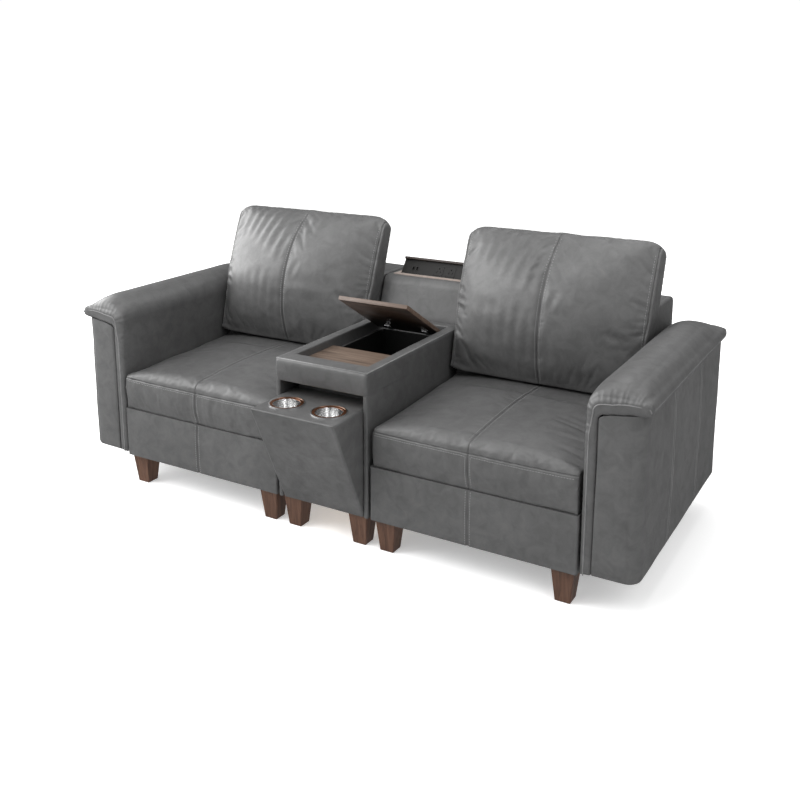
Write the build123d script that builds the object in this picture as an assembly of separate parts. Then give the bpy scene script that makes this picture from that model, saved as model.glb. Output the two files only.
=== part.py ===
from build123d import *
import math
import os

# A two-seat modular sofa with a storage console between the seats, every piece a solid of its own.
# Millimetres. +X runs along the sofa, +Y to its back, +Z up. Pieces are laid out with y = 0 on the
# front of the seats, and move to the part's own frame, centred on the floor, as they are written.

# Modules
SEAT_W = 640.0
CONSOLE_W = 327.0
BODY_D = 850.0
MODULE_GAP = 8.0
ARM_GAP = 4.0
LEG_H = 101.0
BASE_TOP = 269.0
BACK_TOP = 686.0
SOFT_FIT = 0.3

# Legs, each held by a bolt
LEG_TOP_W = 66.0
LEG_FOOT_W = 45.0
LEG_INSET = 44.0
BOLT_R = 4.0
BOLT_FIT = 0.05
BOLT_IN_LEG = 28.0
BOLT_IN_BLOCK = 30.0

# Seat bases
COVER_T = 8.0
COVER_ROUND = 6.0
BOARD_T = 18.0
RAIL_DROP = 7.0
DUST_T = 1.5
BLOCK_W = 60.0
BLOCK_H = 38.0
STRAP_W = 50.0
STRAP_T = 1.5
STRAPS_DEEP = 4
STRAPS_ACROSS = 3

# Backrests: the face is BACK_DEPTH from the rear at the height of the console's rim, and leans
BACK_DEPTH = 250.0
BACK_LEAN = 18.6
BACK_SKIN = 20.0
BACK_END_T = 12.0
REAR_SKIN = 10.0
BACK_ROUND = 25.0
RIB_T = 22.0

# Seat cushions: the crown stands above the side edges, and the front bulges past the base
SEAT_CROWN = 428.0
SEAT_EDGE_TOP = 392.0
SEAT_FIRMNESS = 3.5
SEAT_SEAM_Z = 377.0
SEAT_NOSE = 10.0
SEAT_ROLL = 34.0
SEAT_REAR_DROP = 7.0
SEAT_REAR_FALL = 0.4
SEAT_TUCK = 4.0
SIDE_GAP = 3.0
CUSHION_CUTS = (0.0, 0.08, 0.2, 0.42, 0.7, 1.0)

# Back cushions, measured along and square to the leaning face
PILLOW_FOOT_Z = 424.0
PILLOW_H = 480.0
PILLOW_T = 150.0
PILLOW_EDGE_T = 66.0
PILLOW_FIRMNESS = 2.5
PILLOW_LAP = 54.0
PILLOW_LAP_DROP = 14.0
PILLOW_BROW = 58.0
PILLOW_BROW_FULL = 0.2
PILLOW_ROLL = 30.0
PILLOW_OVER = 2.0
PILLOW_CORNER = 30.0
PILLOW_CORNER_TURN = 16.0

# Arms: an outer panel, and a pad that lies over its top and down its inner side
ARM_W = 160.0
ARM_D = 835.0
ARM_LIFT = 6.0
ARM_ROUND = 40.0
ARM_REAR_ROUND = 16.0
ARM_FOOT_ROUND = 14.0
ARM_WALL = 30.0
ARM_SKIN = 45.0
PAD_STRIP = 35.0
PAD_CROWN = 645.0
PAD_FRONT_TOP = 610.0
PAD_REAR_TOP = 612.0
PAD_NOSE_OUT = 12.0
PAD_NOSE_TOP = 597.0
PAD_LIP_Z = 573.0
PAD_INNER_Z = 556.0
PAD_CORNER = 12.0
PAD_SIDE_TOP = 560.0
PAD_ROLL = 115.0
PAD_REAR_ROLL = 165.0
PAD_FIRMNESS = 3.0
PAD_REAR_FIRMNESS = 1.5
PAD_CUTS = (0.0, 0.1, 0.27, 0.55, 1.0)
PAD_LEVEL_CUTS = (0.13, 0.28, 0.43, 0.57, 0.72, 0.87)

# Console carcass and rim
SIDE_T = 15.0
FLOOR_T = 16.0
FLOOR_FRONT = 36.0
RIM_BOTTOM = 481.4
RIM_TOP = 552.0
RIM_SIDE = 35.0
RIM_FRONT = 60.0
RIM_REAR = 28.0
RIM_LEDGE = 10.0
RIM_ROUND = 5.0
WOOD_TOP = 527.0
TRAY_T = 14.0
TRAY_FIT = 0.3
BIN_LIP = 13.0
BIN_DEPTH = 213.0
BIN_WALL = 4.0

# Storage lid on two wrap-round hinges
LID_L = 292.0
LID_T = 13.5
LID_SIDE_GAP = 1.0
LID_REAR_GAP = 17.0
LID_OPEN = 31.0
LID_EDGE = 1.5
HINGE_X = 73.0
HINGE_W = 22.0
HINGE_GAUGE = 2.4
HINGE_BARREL_R = 4.0
HINGE_PIN_R = 2.0
HINGE_WALL_GAP = 6.0
HINGE_RISE = 14.0
HINGE_KNUCKLE = 7.4
HINGE_PLAY = 0.3
HINGE_PLATE_L = 38.0
PIN_FIT = 0.05

# Tilt-out cup drawer, drawn shut and then tipped open about its pivot
DRAWER_TILT = 25.0
PIVOT_Y = 12.0
PIVOT_UP = 10.0
PIVOT_R = 4.0
PIVOT_IN_SIDE = 10.0
DRAWER_FOOT_GAP = 4.0
DRAWER_TOP_GAP = 3.4
DRAWER_SIDE_GAP = 1.5
DRAWER_SKIN = 15.0
CHEEK_T = 12.0
DRAWER_ROUND = 6.0
DRAWER_HEEL = 30.0
DRAWER_HEEL_H = 22.0
RAIL_H = 30.0
STOP_Y = 60.0
STOP_T = 18.0
STOP_ABOVE = 17.5
STOP_LIP_T = 12.0
STOP_LIP_H = 25.0

# Cup holders
CUP_X = 75.5
CUP_Y = -66.0
CUP_R = 40.5
CUP_WALL = 1.2
CUP_DEPTH = 60.0
CUP_FLANGE_R = 53.5
CUP_LIP_W = 3.3
CUP_LIP_H = 3.0
CUP_FLANGE_T = 1.0
RING_T = 1.2
RING_FIT = 0.05
CUP_HOLE_FIT = 0.3

# Flip-up power unit in the console's backrest, drawn shut and then tipped open
POWER_TILT = 36.0
POWER_REAR = 46.0
POWER_HINGE_DROP = 18.0
POWER_HALF_W = 127.0
POWER_SIDE_GAP = 2.0
POWER_WALL = 3.0
POWER_LID_REACH = 103.0
POWER_LID_T = 8.0
POWER_LID_TAIL = 4.0
POWER_FACE_SET = 9.0
POWER_FACE_H = 66.0
POWER_TAIL = 8.0
POWER_TAIL_H = 20.0
POWER_PIN_R = 2.5
POWER_PIN_L = 12.0
WELL_FRONT = 110.5
WELL_REAR = 16.0
WELL_FLOOR = 67.0
TRIM_T = 2.5
TRIM_FRONT = 19.5
TRIM_SIDE = 14.0
SOCKET_W = 34.0
SOCKET_DEPTH = 12.0
SOCKET_PROUD = 1.0
SOCKET_XS = (19.0, 66.0)
SLOT_W = 2.0
SLOT_H = 8.0
SLOT_SPAN = 12.7
EARTH_R = 2.4
EARTH_UP = 9.0
PORT_XS = (-84.0, -69.0)
PORT_BODY_W = 9.0
PORT_BODY_H = 18.0
PORT_W = 5.2
PORT_H = 12.6
PORT_DEPTH = 9.0
POCKET_FIT = 0.05

# Cable grommet in the rear, and plates that join the modules
GROMMET_X = 90.0
GROMMET_UP = 79.0
GROMMET_R = 16.0
GROMMET_RIM = 4.0
GROMMET_T = 2.0
PLATE_YS = (130.0, 690.0)
PLATE_L = 70.0
PLATE_H = 50.0
PLATE_UP = 84.0

# Places that follow from the sizes above
BACK_FACE_Y = BODY_D - BACK_DEPTH
ARM_BOTTOM = LEG_H + ARM_LIFT
PIVOT_Z = LEG_H + PIVOT_UP
DRAWER_FOOT_Z = LEG_H + DRAWER_FOOT_GAP
GROMMET_Z = LEG_H + GROMMET_UP
PLATE_Z = LEG_H + PLATE_UP
POWER_HINGE_Y = BODY_D - POWER_REAR
CONSOLE_HALF = CONSOLE_W / 2
CARCASS_HALF = CONSOLE_HALF - SIDE_T
SEAT_IN = CONSOLE_HALF + MODULE_GAP
SEAT_OUT = SEAT_IN + SEAT_W
ARM_IN = SEAT_OUT + ARM_GAP
ARM_OUT = ARM_IN + ARM_W
STRIP_X = ARM_IN + PAD_STRIP
RIM_REAR_Y = BACK_FACE_Y - RIM_REAR
WELL_HALF = CONSOLE_HALF - RIM_SIDE
LEDGE_Z = WOOD_TOP - TRAY_T
LID_REAR_Y = RIM_REAR_Y - LID_REAR_GAP
LID_HINGE_Y = RIM_REAR_Y - HINGE_WALL_GAP
LID_HINGE_Z = WOOD_TOP + HINGE_RISE
DRAWER_TOP = RIM_BOTTOM - DRAWER_TOP_GAP
DRAWER_HALF = CARCASS_HALF - DRAWER_SIDE_GAP
CHEEK_IN = DRAWER_HALF - CHEEK_T
POWER_HINGE_Z = BACK_TOP - POWER_HINGE_DROP
WELL_HALF_W = POWER_HALF_W + POWER_SIDE_GAP
POWER_FACE_Y = POWER_HINGE_Y - POWER_LID_REACH + POWER_FACE_SET
TILT = math.radians(DRAWER_TILT)
LEAN = math.radians(BACK_LEAN)

LID_AXIS = Axis((0, LID_HINGE_Y, LID_HINGE_Z), (1, 0, 0))
DRAWER_AXIS = Axis((0, PIVOT_Y, PIVOT_Z), (1, 0, 0))
POWER_AXIS = Axis((0, POWER_HINGE_Y, POWER_HINGE_Z), (1, 0, 0))


def tipped(y, z):
    """Where a point of the shut drawer is when the drawer is open."""
    across = y - PIVOT_Y
    up = z - PIVOT_Z
    return (PIVOT_Y + across * math.cos(TILT) - up * math.sin(TILT),
            PIVOT_Z + across * math.sin(TILT) + up * math.cos(TILT))


# The open drawer's rounded front edge is the foremost point, and the part is centred between it and the back
DRAWER_BROW_Y, CUP_TOP_Z = tipped(0, DRAWER_TOP)
FOREMOST_Y = DRAWER_BROW_Y + DRAWER_ROUND * (math.cos(TILT) / (1 - math.sin(TILT)) - 1)
FRAME_Y = -(FOREMOST_Y + BODY_D) / 2


def save(name, *shapes):
    solids = [solid for shape in shapes for solid in shape.solids()]
    group = Compound(solids).moved(Location((0, FRAME_Y, 0)))
    export_step(group, f"parts/{name}.step")


def board(x0, x1, y0, y1, z0, z1):
    return Pos((x0 + x1) / 2, (y0 + y1) / 2, (z0 + z1) / 2) * Box(x1 - x0, y1 - y0, z1 - z0)


def upright(x, y, z0, z1, radius):
    return Pos(x, y, (z0 + z1) / 2) * Cylinder(radius, z1 - z0)


def crosswise(x0, x1, y, z, radius):
    return Pos((x0 + x1) / 2, y, z) * Rot(0, 90, 0) * Cylinder(radius, x1 - x0)


def outline(x0, x1, points, rounds):
    """A (y, z) outline with a radius for each corner, carried from x0 to x1."""
    face = make_face(FilletPolyline(*points, radius=rounds, close=True))
    return Pos(x0, 0, 0) * extrude(Plane.YZ * face, x1 - x0)


def section(place, *runs):
    """A closed face from runs of two points (a line) or three (an arc), each put in space by place."""
    edges = []
    for run in runs:
        points = [place(*point) for point in run]
        edges.append(Line(*points) if len(points) == 2 else ThreePointArc(*points))
    return Face(Wire(edges))


def handed(side, shapes):
    """The right-hand pieces, or their mirror images for the left."""
    if side == "right":
        return shapes
    return [mirror(shape, about=Plane.YZ) for shape in shapes]


def both_sides(shape):
    return [shape, mirror(shape, about=Plane.YZ)]


def leg_places(x0, x1):
    return [(x, y) for x in (x0 + LEG_INSET, x1 - LEG_INSET) for y in (LEG_INSET, BODY_D - LEG_INSET)]


def bolt_holes(places, z0, z1):
    return [upright(x, y, z0, z1, BOLT_R + BOLT_FIT) for x, y in places]


def legs(places):
    """Square legs that taper to the floor, each bored for its bolt."""
    pieces = []
    for x, y in places:
        foot = Plane.XY * Rectangle(LEG_FOOT_W, LEG_FOOT_W)
        head = Plane.XY.offset(LEG_H) * Rectangle(LEG_TOP_W, LEG_TOP_W)
        leg = Pos(x, y, 0) * loft([foot, head], ruled=True)
        pieces.append(leg - upright(x, y, LEG_H - BOLT_IN_LEG, LEG_H + 1, BOLT_R + BOLT_FIT))
    return pieces


def leg_bolts(places, top):
    return [upright(x, y, LEG_H - BOLT_IN_LEG, top, BOLT_R) for x, y in places]


def seat_frame(places):
    """Rails, a cross rail under the backrest's face, and corner blocks that take the leg bolts."""
    x0 = SEAT_IN + COVER_T
    x1 = SEAT_OUT - COVER_T
    y0 = COVER_T
    y1 = BODY_D - COVER_T
    z0 = LEG_H + DUST_T
    z1 = BASE_TOP - RAIL_DROP
    inner = (x0 + BOARD_T, x1 - BOARD_T, y0 + BOARD_T, y1 - BOARD_T)
    cross = back_face_y(BASE_TOP)
    pieces = [
        board(x0, x1, y0, inner[2], z0, z1),
        board(x0, x1, inner[3], y1, z0, z1),
        board(x0, inner[0], inner[2], inner[3], z0, z1),
        board(inner[1], x1, inner[2], inner[3], z0, z1),
        board(inner[0], inner[1], cross, cross + BOARD_T, z0, z1),
    ]
    for x in (inner[0], inner[1] - BLOCK_W):
        for y in (inner[2], inner[3] - BLOCK_W):
            block = board(x, x + BLOCK_W, y, y + BLOCK_W, z0, z0 + BLOCK_H)
            for hole in bolt_holes(places, z0 - 1, LEG_H + BOLT_IN_BLOCK):
                block -= hole
            pieces.append(block)
    return pieces


def seat_webbing():
    """Straps from the front rail to the cross rail, and straps laid over them from side to side."""
    x0 = SEAT_IN + COVER_T
    x1 = SEAT_OUT - COVER_T
    y0 = COVER_T
    y1 = back_face_y(BASE_TOP) + BOARD_T
    z0 = BASE_TOP - RAIL_DROP
    pieces = []
    for index in range(STRAPS_DEEP):
        x = x0 + (x1 - x0) * (index + 0.5) / STRAPS_DEEP
        pieces.append(board(x - STRAP_W / 2, x + STRAP_W / 2, y0, y1, z0, z0 + STRAP_T))
    for index in range(STRAPS_ACROSS):
        y = y0 + (y1 - y0) * (index + 0.5) / STRAPS_ACROSS
        pieces.append(board(x0, x1, y - STRAP_W / 2, y + STRAP_W / 2, z0 + STRAP_T, z0 + 2 * STRAP_T))
    return pieces


def base_cover():
    """Upholstered panels round the base: front, rear and the two sides between them."""
    front = board(SEAT_IN, SEAT_OUT, 0, COVER_T, LEG_H, BASE_TOP)
    front = fillet(front.edges().filter_by(Axis.Z).group_by(Axis.Y)[0], COVER_ROUND)
    rear = board(SEAT_IN, SEAT_OUT, BODY_D - COVER_T, BODY_D, LEG_H, BASE_TOP)
    rear = fillet(rear.edges().filter_by(Axis.Z).group_by(Axis.Y)[-1], COVER_ROUND)
    inner_side = board(SEAT_IN, SEAT_IN + COVER_T, COVER_T, BODY_D - COVER_T, LEG_H, BASE_TOP)
    outer_side = board(SEAT_OUT - COVER_T, SEAT_OUT, COVER_T, BODY_D - COVER_T, LEG_H, BASE_TOP)
    return [front, rear, inner_side, outer_side]


def dust_cover(places):
    sheet = board(SEAT_IN + COVER_T, SEAT_OUT - COVER_T, COVER_T, BODY_D - COVER_T, LEG_H, LEG_H + DUST_T)
    for hole in bolt_holes(places, LEG_H - 1, LEG_H + DUST_T + 1):
        sheet -= hole
    return [sheet]


def back_face_y(z):
    """The front face of the backrests at a height."""
    return BACK_FACE_Y + (z - RIM_TOP) * math.tan(LEAN)


def seat_back_outline(inset):
    """The backrest's outline on its base, or the space inside its skins."""
    skin = BACK_SKIN * inset
    top = BACK_TOP - skin
    rear = BODY_D - REAR_SKIN * inset
    foot = (back_face_y(BASE_TOP) + skin / math.cos(LEAN), BASE_TOP)
    head = (back_face_y(top) + skin / math.cos(LEAN), top)
    return [foot, head, (rear, top), (rear, BASE_TOP)]


def console_back_outline(inset):
    """As the seats' backrests, but standing on the carcass, upright behind the rim and leaning above it."""
    skin = BACK_SKIN * inset
    top = BACK_TOP - skin
    rear = BODY_D - REAR_SKIN * inset
    bend = BACK_FACE_Y + skin
    lean_top = back_face_y(top) + skin / math.cos(LEAN)
    knee = RIM_TOP + (bend - BACK_FACE_Y - skin / math.cos(LEAN)) / math.tan(LEAN)
    return [(bend, RIM_BOTTOM), (bend, knee), (lean_top, top), (rear, top), (rear, RIM_BOTTOM)]


def corner_rounds(points):
    """Rounds on the two top corners of a backrest outline, and sharp corners elsewhere."""
    top = max(z for _, z in points)
    return [BACK_ROUND if z == top else 0 for _, z in points]


def back_cover(x0, x1, outer, inner):
    """An upholstered skin over front, top and rear, closed by two end panels."""
    rounds = corner_rounds(outer)
    ends = [outline(x0, x0 + BACK_END_T, outer, rounds), outline(x1 - BACK_END_T, x1, outer, rounds)]
    skin = outline(x0 + BACK_END_T, x1 - BACK_END_T, outer, rounds)
    skin -= outline(x0, x1, inner, [0] * len(inner))
    return [skin] + ends


def back_frame(inner):
    """Three plywood ribs that fill the skin's section, joined by two rails."""
    x0 = SEAT_IN + BACK_END_T
    x1 = SEAT_OUT - BACK_END_T
    middle = (x0 + x1) / 2
    starts = [x0, middle - RIB_T / 2, x1 - RIB_T]
    ribs = [outline(x, x + RIB_T, inner, [0] * len(inner)) for x in starts]
    rails = []
    for left, right in zip(starts, starts[1:]):
        rear = BODY_D - REAR_SKIN
        for z in (BASE_TOP, BACK_TOP - BACK_SKIN - BLOCK_W):
            rails.append(board(left + RIB_T, right, rear - BOARD_T, rear, z, z + BLOCK_W))
    return ribs + rails


def fullness(fraction, firmness):
    """How far padding has swelled, 0 at a seam to 1 in the middle, a fraction of the way in."""
    return 1 - (1 - fraction) ** firmness


def across_seat(half):
    """The places across a seat where a cushion is cut, each with its fraction of the way in."""
    middle = (SEAT_IN + SEAT_OUT) / 2
    near = [(middle - half * (1 - fraction), fraction) for fraction in CUSHION_CUTS]
    far = [(2 * middle - x, fraction) for x, fraction in reversed(near[:-1])]
    return near + far


def seat_section(x, crown, nose):
    """The cushion cut front to back: bulged front, rolled edge at the seam, and a crowned top."""
    z0 = BASE_TOP + SOFT_FIT
    rear_top = SEAT_CROWN - SEAT_REAR_DROP - (SEAT_CROWN - crown) * SEAT_REAR_FALL
    seam = (SEAT_TUCK / 2 - nose, SEAT_SEAM_Z)
    roll_top = (SEAT_ROLL, crown - (crown - SEAT_SEAM_Z) * 0.24)
    roll_mid = (seam[0] + (SEAT_ROLL - seam[0]) * 0.2, seam[1] + (roll_top[1] - seam[1]) * 0.68)
    rear = (back_face_y(rear_top) - SOFT_FIT / math.cos(LEAN), rear_top)
    rear_foot = (back_face_y(z0) - SOFT_FIT / math.cos(LEAN), z0)
    foot = (SEAT_TUCK, z0)
    return section(
        lambda y, z: (x, y, z),
        (foot, (-nose, (z0 + SEAT_SEAM_Z) / 2), seam),
        (seam, roll_mid, roll_top),
        (roll_top, (rear[0] * 0.42, crown), rear),
        (rear, rear_foot),
        (rear_foot, foot),
    )


def seat_cushion():
    """A crowned cushion whose top falls to its side seams and whose front draws in at the corners."""
    cuts = []
    for x, fraction in across_seat(SEAT_W / 2 - SIDE_GAP):
        swell = fullness(fraction, SEAT_FIRMNESS)
        crown = SEAT_EDGE_TOP + (SEAT_CROWN - SEAT_EDGE_TOP) * swell
        cuts.append(seat_section(x, crown, SEAT_NOSE * (0.3 + 0.7 * swell)))
    return [loft(cuts)]


def pillow_section(x, thick, drawn_in):
    """The back cushion cut front to back: flat on the seat, full in the middle, drawn in at its corners."""
    foot_y = back_face_y(PILLOW_FOOT_Z)

    def leaning(up, out):
        return (x,
                foot_y + up * math.sin(LEAN) - out * math.cos(LEAN),
                PILLOW_FOOT_Z + up * math.cos(LEAN) + out * math.sin(LEAN))

    low = drawn_in * 0.3
    high = PILLOW_H - drawn_in
    rear_low = (low, SOFT_FIT)
    rear_high = (high - PILLOW_ROLL / 2, SOFT_FIT)
    brow = (high - PILLOW_ROLL, PILLOW_BROW + PILLOW_BROW_FULL * (thick - PILLOW_EDGE_T))
    lap = (low - PILLOW_LAP_DROP, PILLOW_LAP)
    underside = (low - PILLOW_LAP_DROP * 0.64, PILLOW_LAP / 2)
    return section(
        leaning,
        (rear_low, underside, lap),
        (lap, ((low + high) * 0.45, thick), brow),
        (brow, (high, brow[1] * 0.55), rear_high),
        (rear_high, rear_low),
    )


def back_cushion():
    cuts = []
    for x, fraction in across_seat(SEAT_W / 2 + PILLOW_OVER):
        thick = PILLOW_EDGE_T + (PILLOW_T - PILLOW_EDGE_T) * fullness(fraction, PILLOW_FIRMNESS)
        cuts.append(pillow_section(x, thick, PILLOW_CORNER * (1 - fraction) ** PILLOW_CORNER_TURN))
    return [loft(cuts)]


def pad_section(y, crown):
    """The arm pad cut across: inner strip, rounded shoulder, crowned top, overhanging nose."""
    shoulder = (STRIP_X, crown - (crown - PAD_NOSE_TOP) * 0.28)
    shoulder_mid = (ARM_IN + PAD_STRIP * 0.3, PAD_SIDE_TOP + (shoulder[1] - PAD_SIDE_TOP) * 0.68)
    nose_top = (ARM_OUT, PAD_NOSE_TOP)
    nose = (ARM_OUT + PAD_NOSE_OUT, (PAD_NOSE_TOP + PAD_LIP_Z) / 2)
    lip = (ARM_OUT, PAD_LIP_Z)
    inner = (STRIP_X + PAD_CORNER, PAD_INNER_Z)
    inner_low = (STRIP_X, PAD_INNER_Z - PAD_CORNER)
    inner_mid = (STRIP_X + PAD_CORNER * 0.3, PAD_INNER_Z - PAD_CORNER * 0.3)
    return section(
        lambda x, z: (x, y, z),
        ((ARM_IN, ARM_BOTTOM), (ARM_IN, PAD_SIDE_TOP)),
        ((ARM_IN, PAD_SIDE_TOP), shoulder_mid, shoulder),
        (shoulder, ((STRIP_X + ARM_OUT) / 2, crown), nose_top),
        (nose_top, nose, lip),
        (lip, inner),
        (inner, inner_mid, inner_low),
        (inner_low, (STRIP_X, ARM_BOTTOM)),
        ((STRIP_X, ARM_BOTTOM), (ARM_IN, ARM_BOTTOM)),
    )


def arm_pad():
    """The pad's top rolls up behind its front seam, runs level, and slopes down to the rear."""
    front = []
    rear = []
    for fraction in PAD_CUTS:
        swell = fullness(fraction, PAD_FIRMNESS)
        front.append((PAD_ROLL * fraction, PAD_FRONT_TOP + (PAD_CROWN - PAD_FRONT_TOP) * swell))
        swell = fullness(fraction, PAD_REAR_FIRMNESS)
        rear.append((ARM_D - PAD_REAR_ROLL * fraction, PAD_REAR_TOP + (PAD_CROWN - PAD_REAR_TOP) * swell))
    run = ARM_D - PAD_ROLL - PAD_REAR_ROLL
    level = [(PAD_ROLL + run * share, PAD_CROWN) for share in PAD_LEVEL_CUTS]
    return [loft([pad_section(*cut) for cut in front + level + rear[::-1]])]


def arm_block():
    """The whole volume of the arm's outer panel, with rounded upright and bottom edges."""
    inner = STRIP_X + SOFT_FIT
    bend = STRIP_X + PAD_CORNER
    face = section(
        lambda x, z: (x, 0, z),
        ((inner, ARM_BOTTOM), (inner, PAD_INNER_Z - PAD_CORNER - SOFT_FIT)),
        ((inner, PAD_INNER_Z - PAD_CORNER - SOFT_FIT), (bend, PAD_INNER_Z - 2 * SOFT_FIT)),
        ((bend, PAD_INNER_Z - 2 * SOFT_FIT), (ARM_OUT, PAD_LIP_Z - 2 * SOFT_FIT)),
        ((ARM_OUT, PAD_LIP_Z - 2 * SOFT_FIT), (ARM_OUT, ARM_BOTTOM)),
        ((ARM_OUT, ARM_BOTTOM), (inner, ARM_BOTTOM)),
    )
    block = extrude(face, amount=ARM_D, dir=(0, 1, 0))
    outer_edges = block.edges().filter_by(Axis.Z).group_by(Axis.X)[-1].sort_by(Axis.Y)
    block = fillet(outer_edges[0], ARM_ROUND)
    block = fillet(block.edges().filter_by(Axis.Z).group_by(Axis.X)[-1].sort_by(Axis.Y)[-1], ARM_REAR_ROUND)
    bottom = block.faces().sort_by(Axis.Z)[0]
    return fillet(bottom.edges().sort_by(Axis.X)[1:], ARM_FOOT_ROUND)


def arm_cavity():
    """The limits in x, y and z of the space inside the outer panel, open to the pad's strip."""
    return (STRIP_X + SOFT_FIT, ARM_OUT - ARM_SKIN, ARM_WALL, ARM_D - ARM_WALL,
            ARM_BOTTOM + ARM_WALL, PAD_INNER_Z - ARM_WALL)


def arm_panel():
    """The outer panel as it is upholstered: outer slab, front and rear caps, foot and top strips."""
    x0, x1, y0, y1, z0, z1 = arm_cavity()
    block = arm_block()
    far = 2 * ARM_D
    regions = [
        board(x1, x1 + far, -far, far, 0, far),
        board(x0 - far, x1, -far, y0, 0, far),
        board(x0 - far, x1, y1, far, 0, far),
        board(x0 - far, x1, y0, y1, 0, z0),
        board(x0 - far, x1, y0, y1, z1, far),
    ]
    return [block & region for region in regions]


def arm_frame():
    """Posts at both ends and in the middle, joined by a top and a bottom rail."""
    x0, x1, y0, y1, z0, z1 = arm_cavity()
    middle = (y0 + y1) / 2
    pieces = [board(x0, x1, y0, y1, z0, z0 + BOARD_T), board(x0, x1, y0, y1, z1 - BOARD_T, z1)]
    for y in (y0, middle - BOARD_T / 2, y1 - BOARD_T):
        pieces.append(board(x0, x1, y, y + BOARD_T, z0 + BOARD_T, z1 - BOARD_T))
    return pieces


def console_side():
    side = board(CARCASS_HALF, CONSOLE_HALF, 0, BODY_D, LEG_H, RIM_BOTTOM)
    bore_end = CARCASS_HALF + PIVOT_IN_SIDE
    return side - crosswise(CARCASS_HALF - 1, bore_end, PIVOT_Y, PIVOT_Z, PIVOT_R + PIN_FIT)


def console_floor(places):
    floor = board(-CARCASS_HALF, CARCASS_HALF, FLOOR_FRONT, BODY_D, LEG_H, LEG_H + FLOOR_T)
    for hole in bolt_holes(places, LEG_H - 1, LEG_H + FLOOR_T + 1):
        floor -= hole
    return floor


def console_rear():
    rear = board(-CARCASS_HALF, CARCASS_HALF, BODY_D - COVER_T, BODY_D, LEG_H + FLOOR_T, RIM_BOTTOM)
    centre = Pos(GROMMET_X, BODY_D, GROMMET_Z) * Rot(90, 0, 0)
    rear -= centre * Cylinder(GROMMET_R, 4 * COVER_T)
    return rear - centre * Cylinder(GROMMET_R + GROMMET_RIM, 2 * GROMMET_T)


def cable_grommet():
    """A bushed ring in the rear panel, with its flange let in flush, for the power unit's lead."""
    bore_r = GROMMET_R - GROMMET_T
    flange_r = GROMMET_R + GROMMET_RIM
    under = COVER_T - GROMMET_T
    profile = [
        (bore_r, 0), (bore_r, COVER_T), (flange_r, COVER_T),
        (flange_r, under), (GROMMET_R, under), (GROMMET_R, 0),
    ]
    ring = revolve(Plane.XZ * make_face(Polyline(*profile, close=True)), Axis.Z)
    return Pos(GROMMET_X, BODY_D - COVER_T, GROMMET_Z) * Rot(-90, 0, 0) * ring


def console_rim():
    """A padded box round the tray, with a ledge inside it that carries the tray board and the shut lid."""
    rim = board(-CONSOLE_HALF, CONSOLE_HALF, 0, BACK_FACE_Y, RIM_BOTTOM, RIM_TOP)
    rim = fillet(rim.edges().group_by(Axis.Z)[-1].sort_by(Axis.Y)[:-1], RIM_ROUND)
    rim -= board(-WELL_HALF, WELL_HALF, RIM_FRONT, RIM_REAR_Y, LEDGE_Z, RIM_TOP + 1)
    well = WELL_HALF - RIM_LEDGE
    return rim - board(-well, well, RIM_FRONT + RIM_LEDGE, RIM_REAR_Y - RIM_LEDGE, RIM_BOTTOM - 1, RIM_TOP)


def lid_front_y():
    return LID_REAR_Y - LID_L


def tray_board():
    """The fixed wooden board in front of the lid, ending clear of the lid's swing."""
    reach = math.hypot(LID_HINGE_Y - lid_front_y(), LID_HINGE_Z - WOOD_TOP + LID_T)
    rear = LID_HINGE_Y - reach - LID_SIDE_GAP
    half = WELL_HALF - TRAY_FIT
    return board(-half, half, RIM_FRONT + TRAY_FIT, rear, LEDGE_Z, WOOD_TOP)


def storage_bin():
    half = WELL_HALF - RIM_LEDGE
    rear = RIM_REAR_Y - RIM_LEDGE
    front = lid_front_y() - BIN_LIP
    floor = LEDGE_Z - BIN_DEPTH
    box = board(-half, half, front, rear, floor, LEDGE_Z)
    inner = board(-half + BIN_WALL, half - BIN_WALL, front + BIN_WALL, rear - BIN_WALL,
                  floor + BIN_WALL, LEDGE_Z + 1)
    return box - inner


def storage_lid():
    half = WELL_HALF - LID_SIDE_GAP
    lid = board(-half, half, lid_front_y(), LID_REAR_Y, WOOD_TOP - LID_T, WOOD_TOP)
    return fillet(lid.edges().group_by(Axis.Z)[-1], LID_EDGE)


def hinge_leaf(x):
    """The leaf on the rim's rear wall, with a barrel at each end of the pin."""
    half = HINGE_W / 2
    gap = HINGE_KNUCKLE / 2 + HINGE_PLAY
    leaf = board(x - half, x + half, RIM_REAR_Y - HINGE_GAUGE, RIM_REAR_Y, LEDGE_Z, LID_HINGE_Z)
    for start, end in ((-half, -gap), (gap, half)):
        leaf += crosswise(x + start, x + end, LID_HINGE_Y, LID_HINGE_Z, HINGE_BARREL_R)
    room = HINGE_BARREL_R + HINGE_PLAY
    y = LID_HINGE_Y
    z = LID_HINGE_Z
    leaf -= board(x - gap, x + gap, y - room, y + room, z - room, z + room)
    return leaf - crosswise(x - half, x + half, LID_HINGE_Y, LID_HINGE_Z, HINGE_PIN_R + PIN_FIT)


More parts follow.
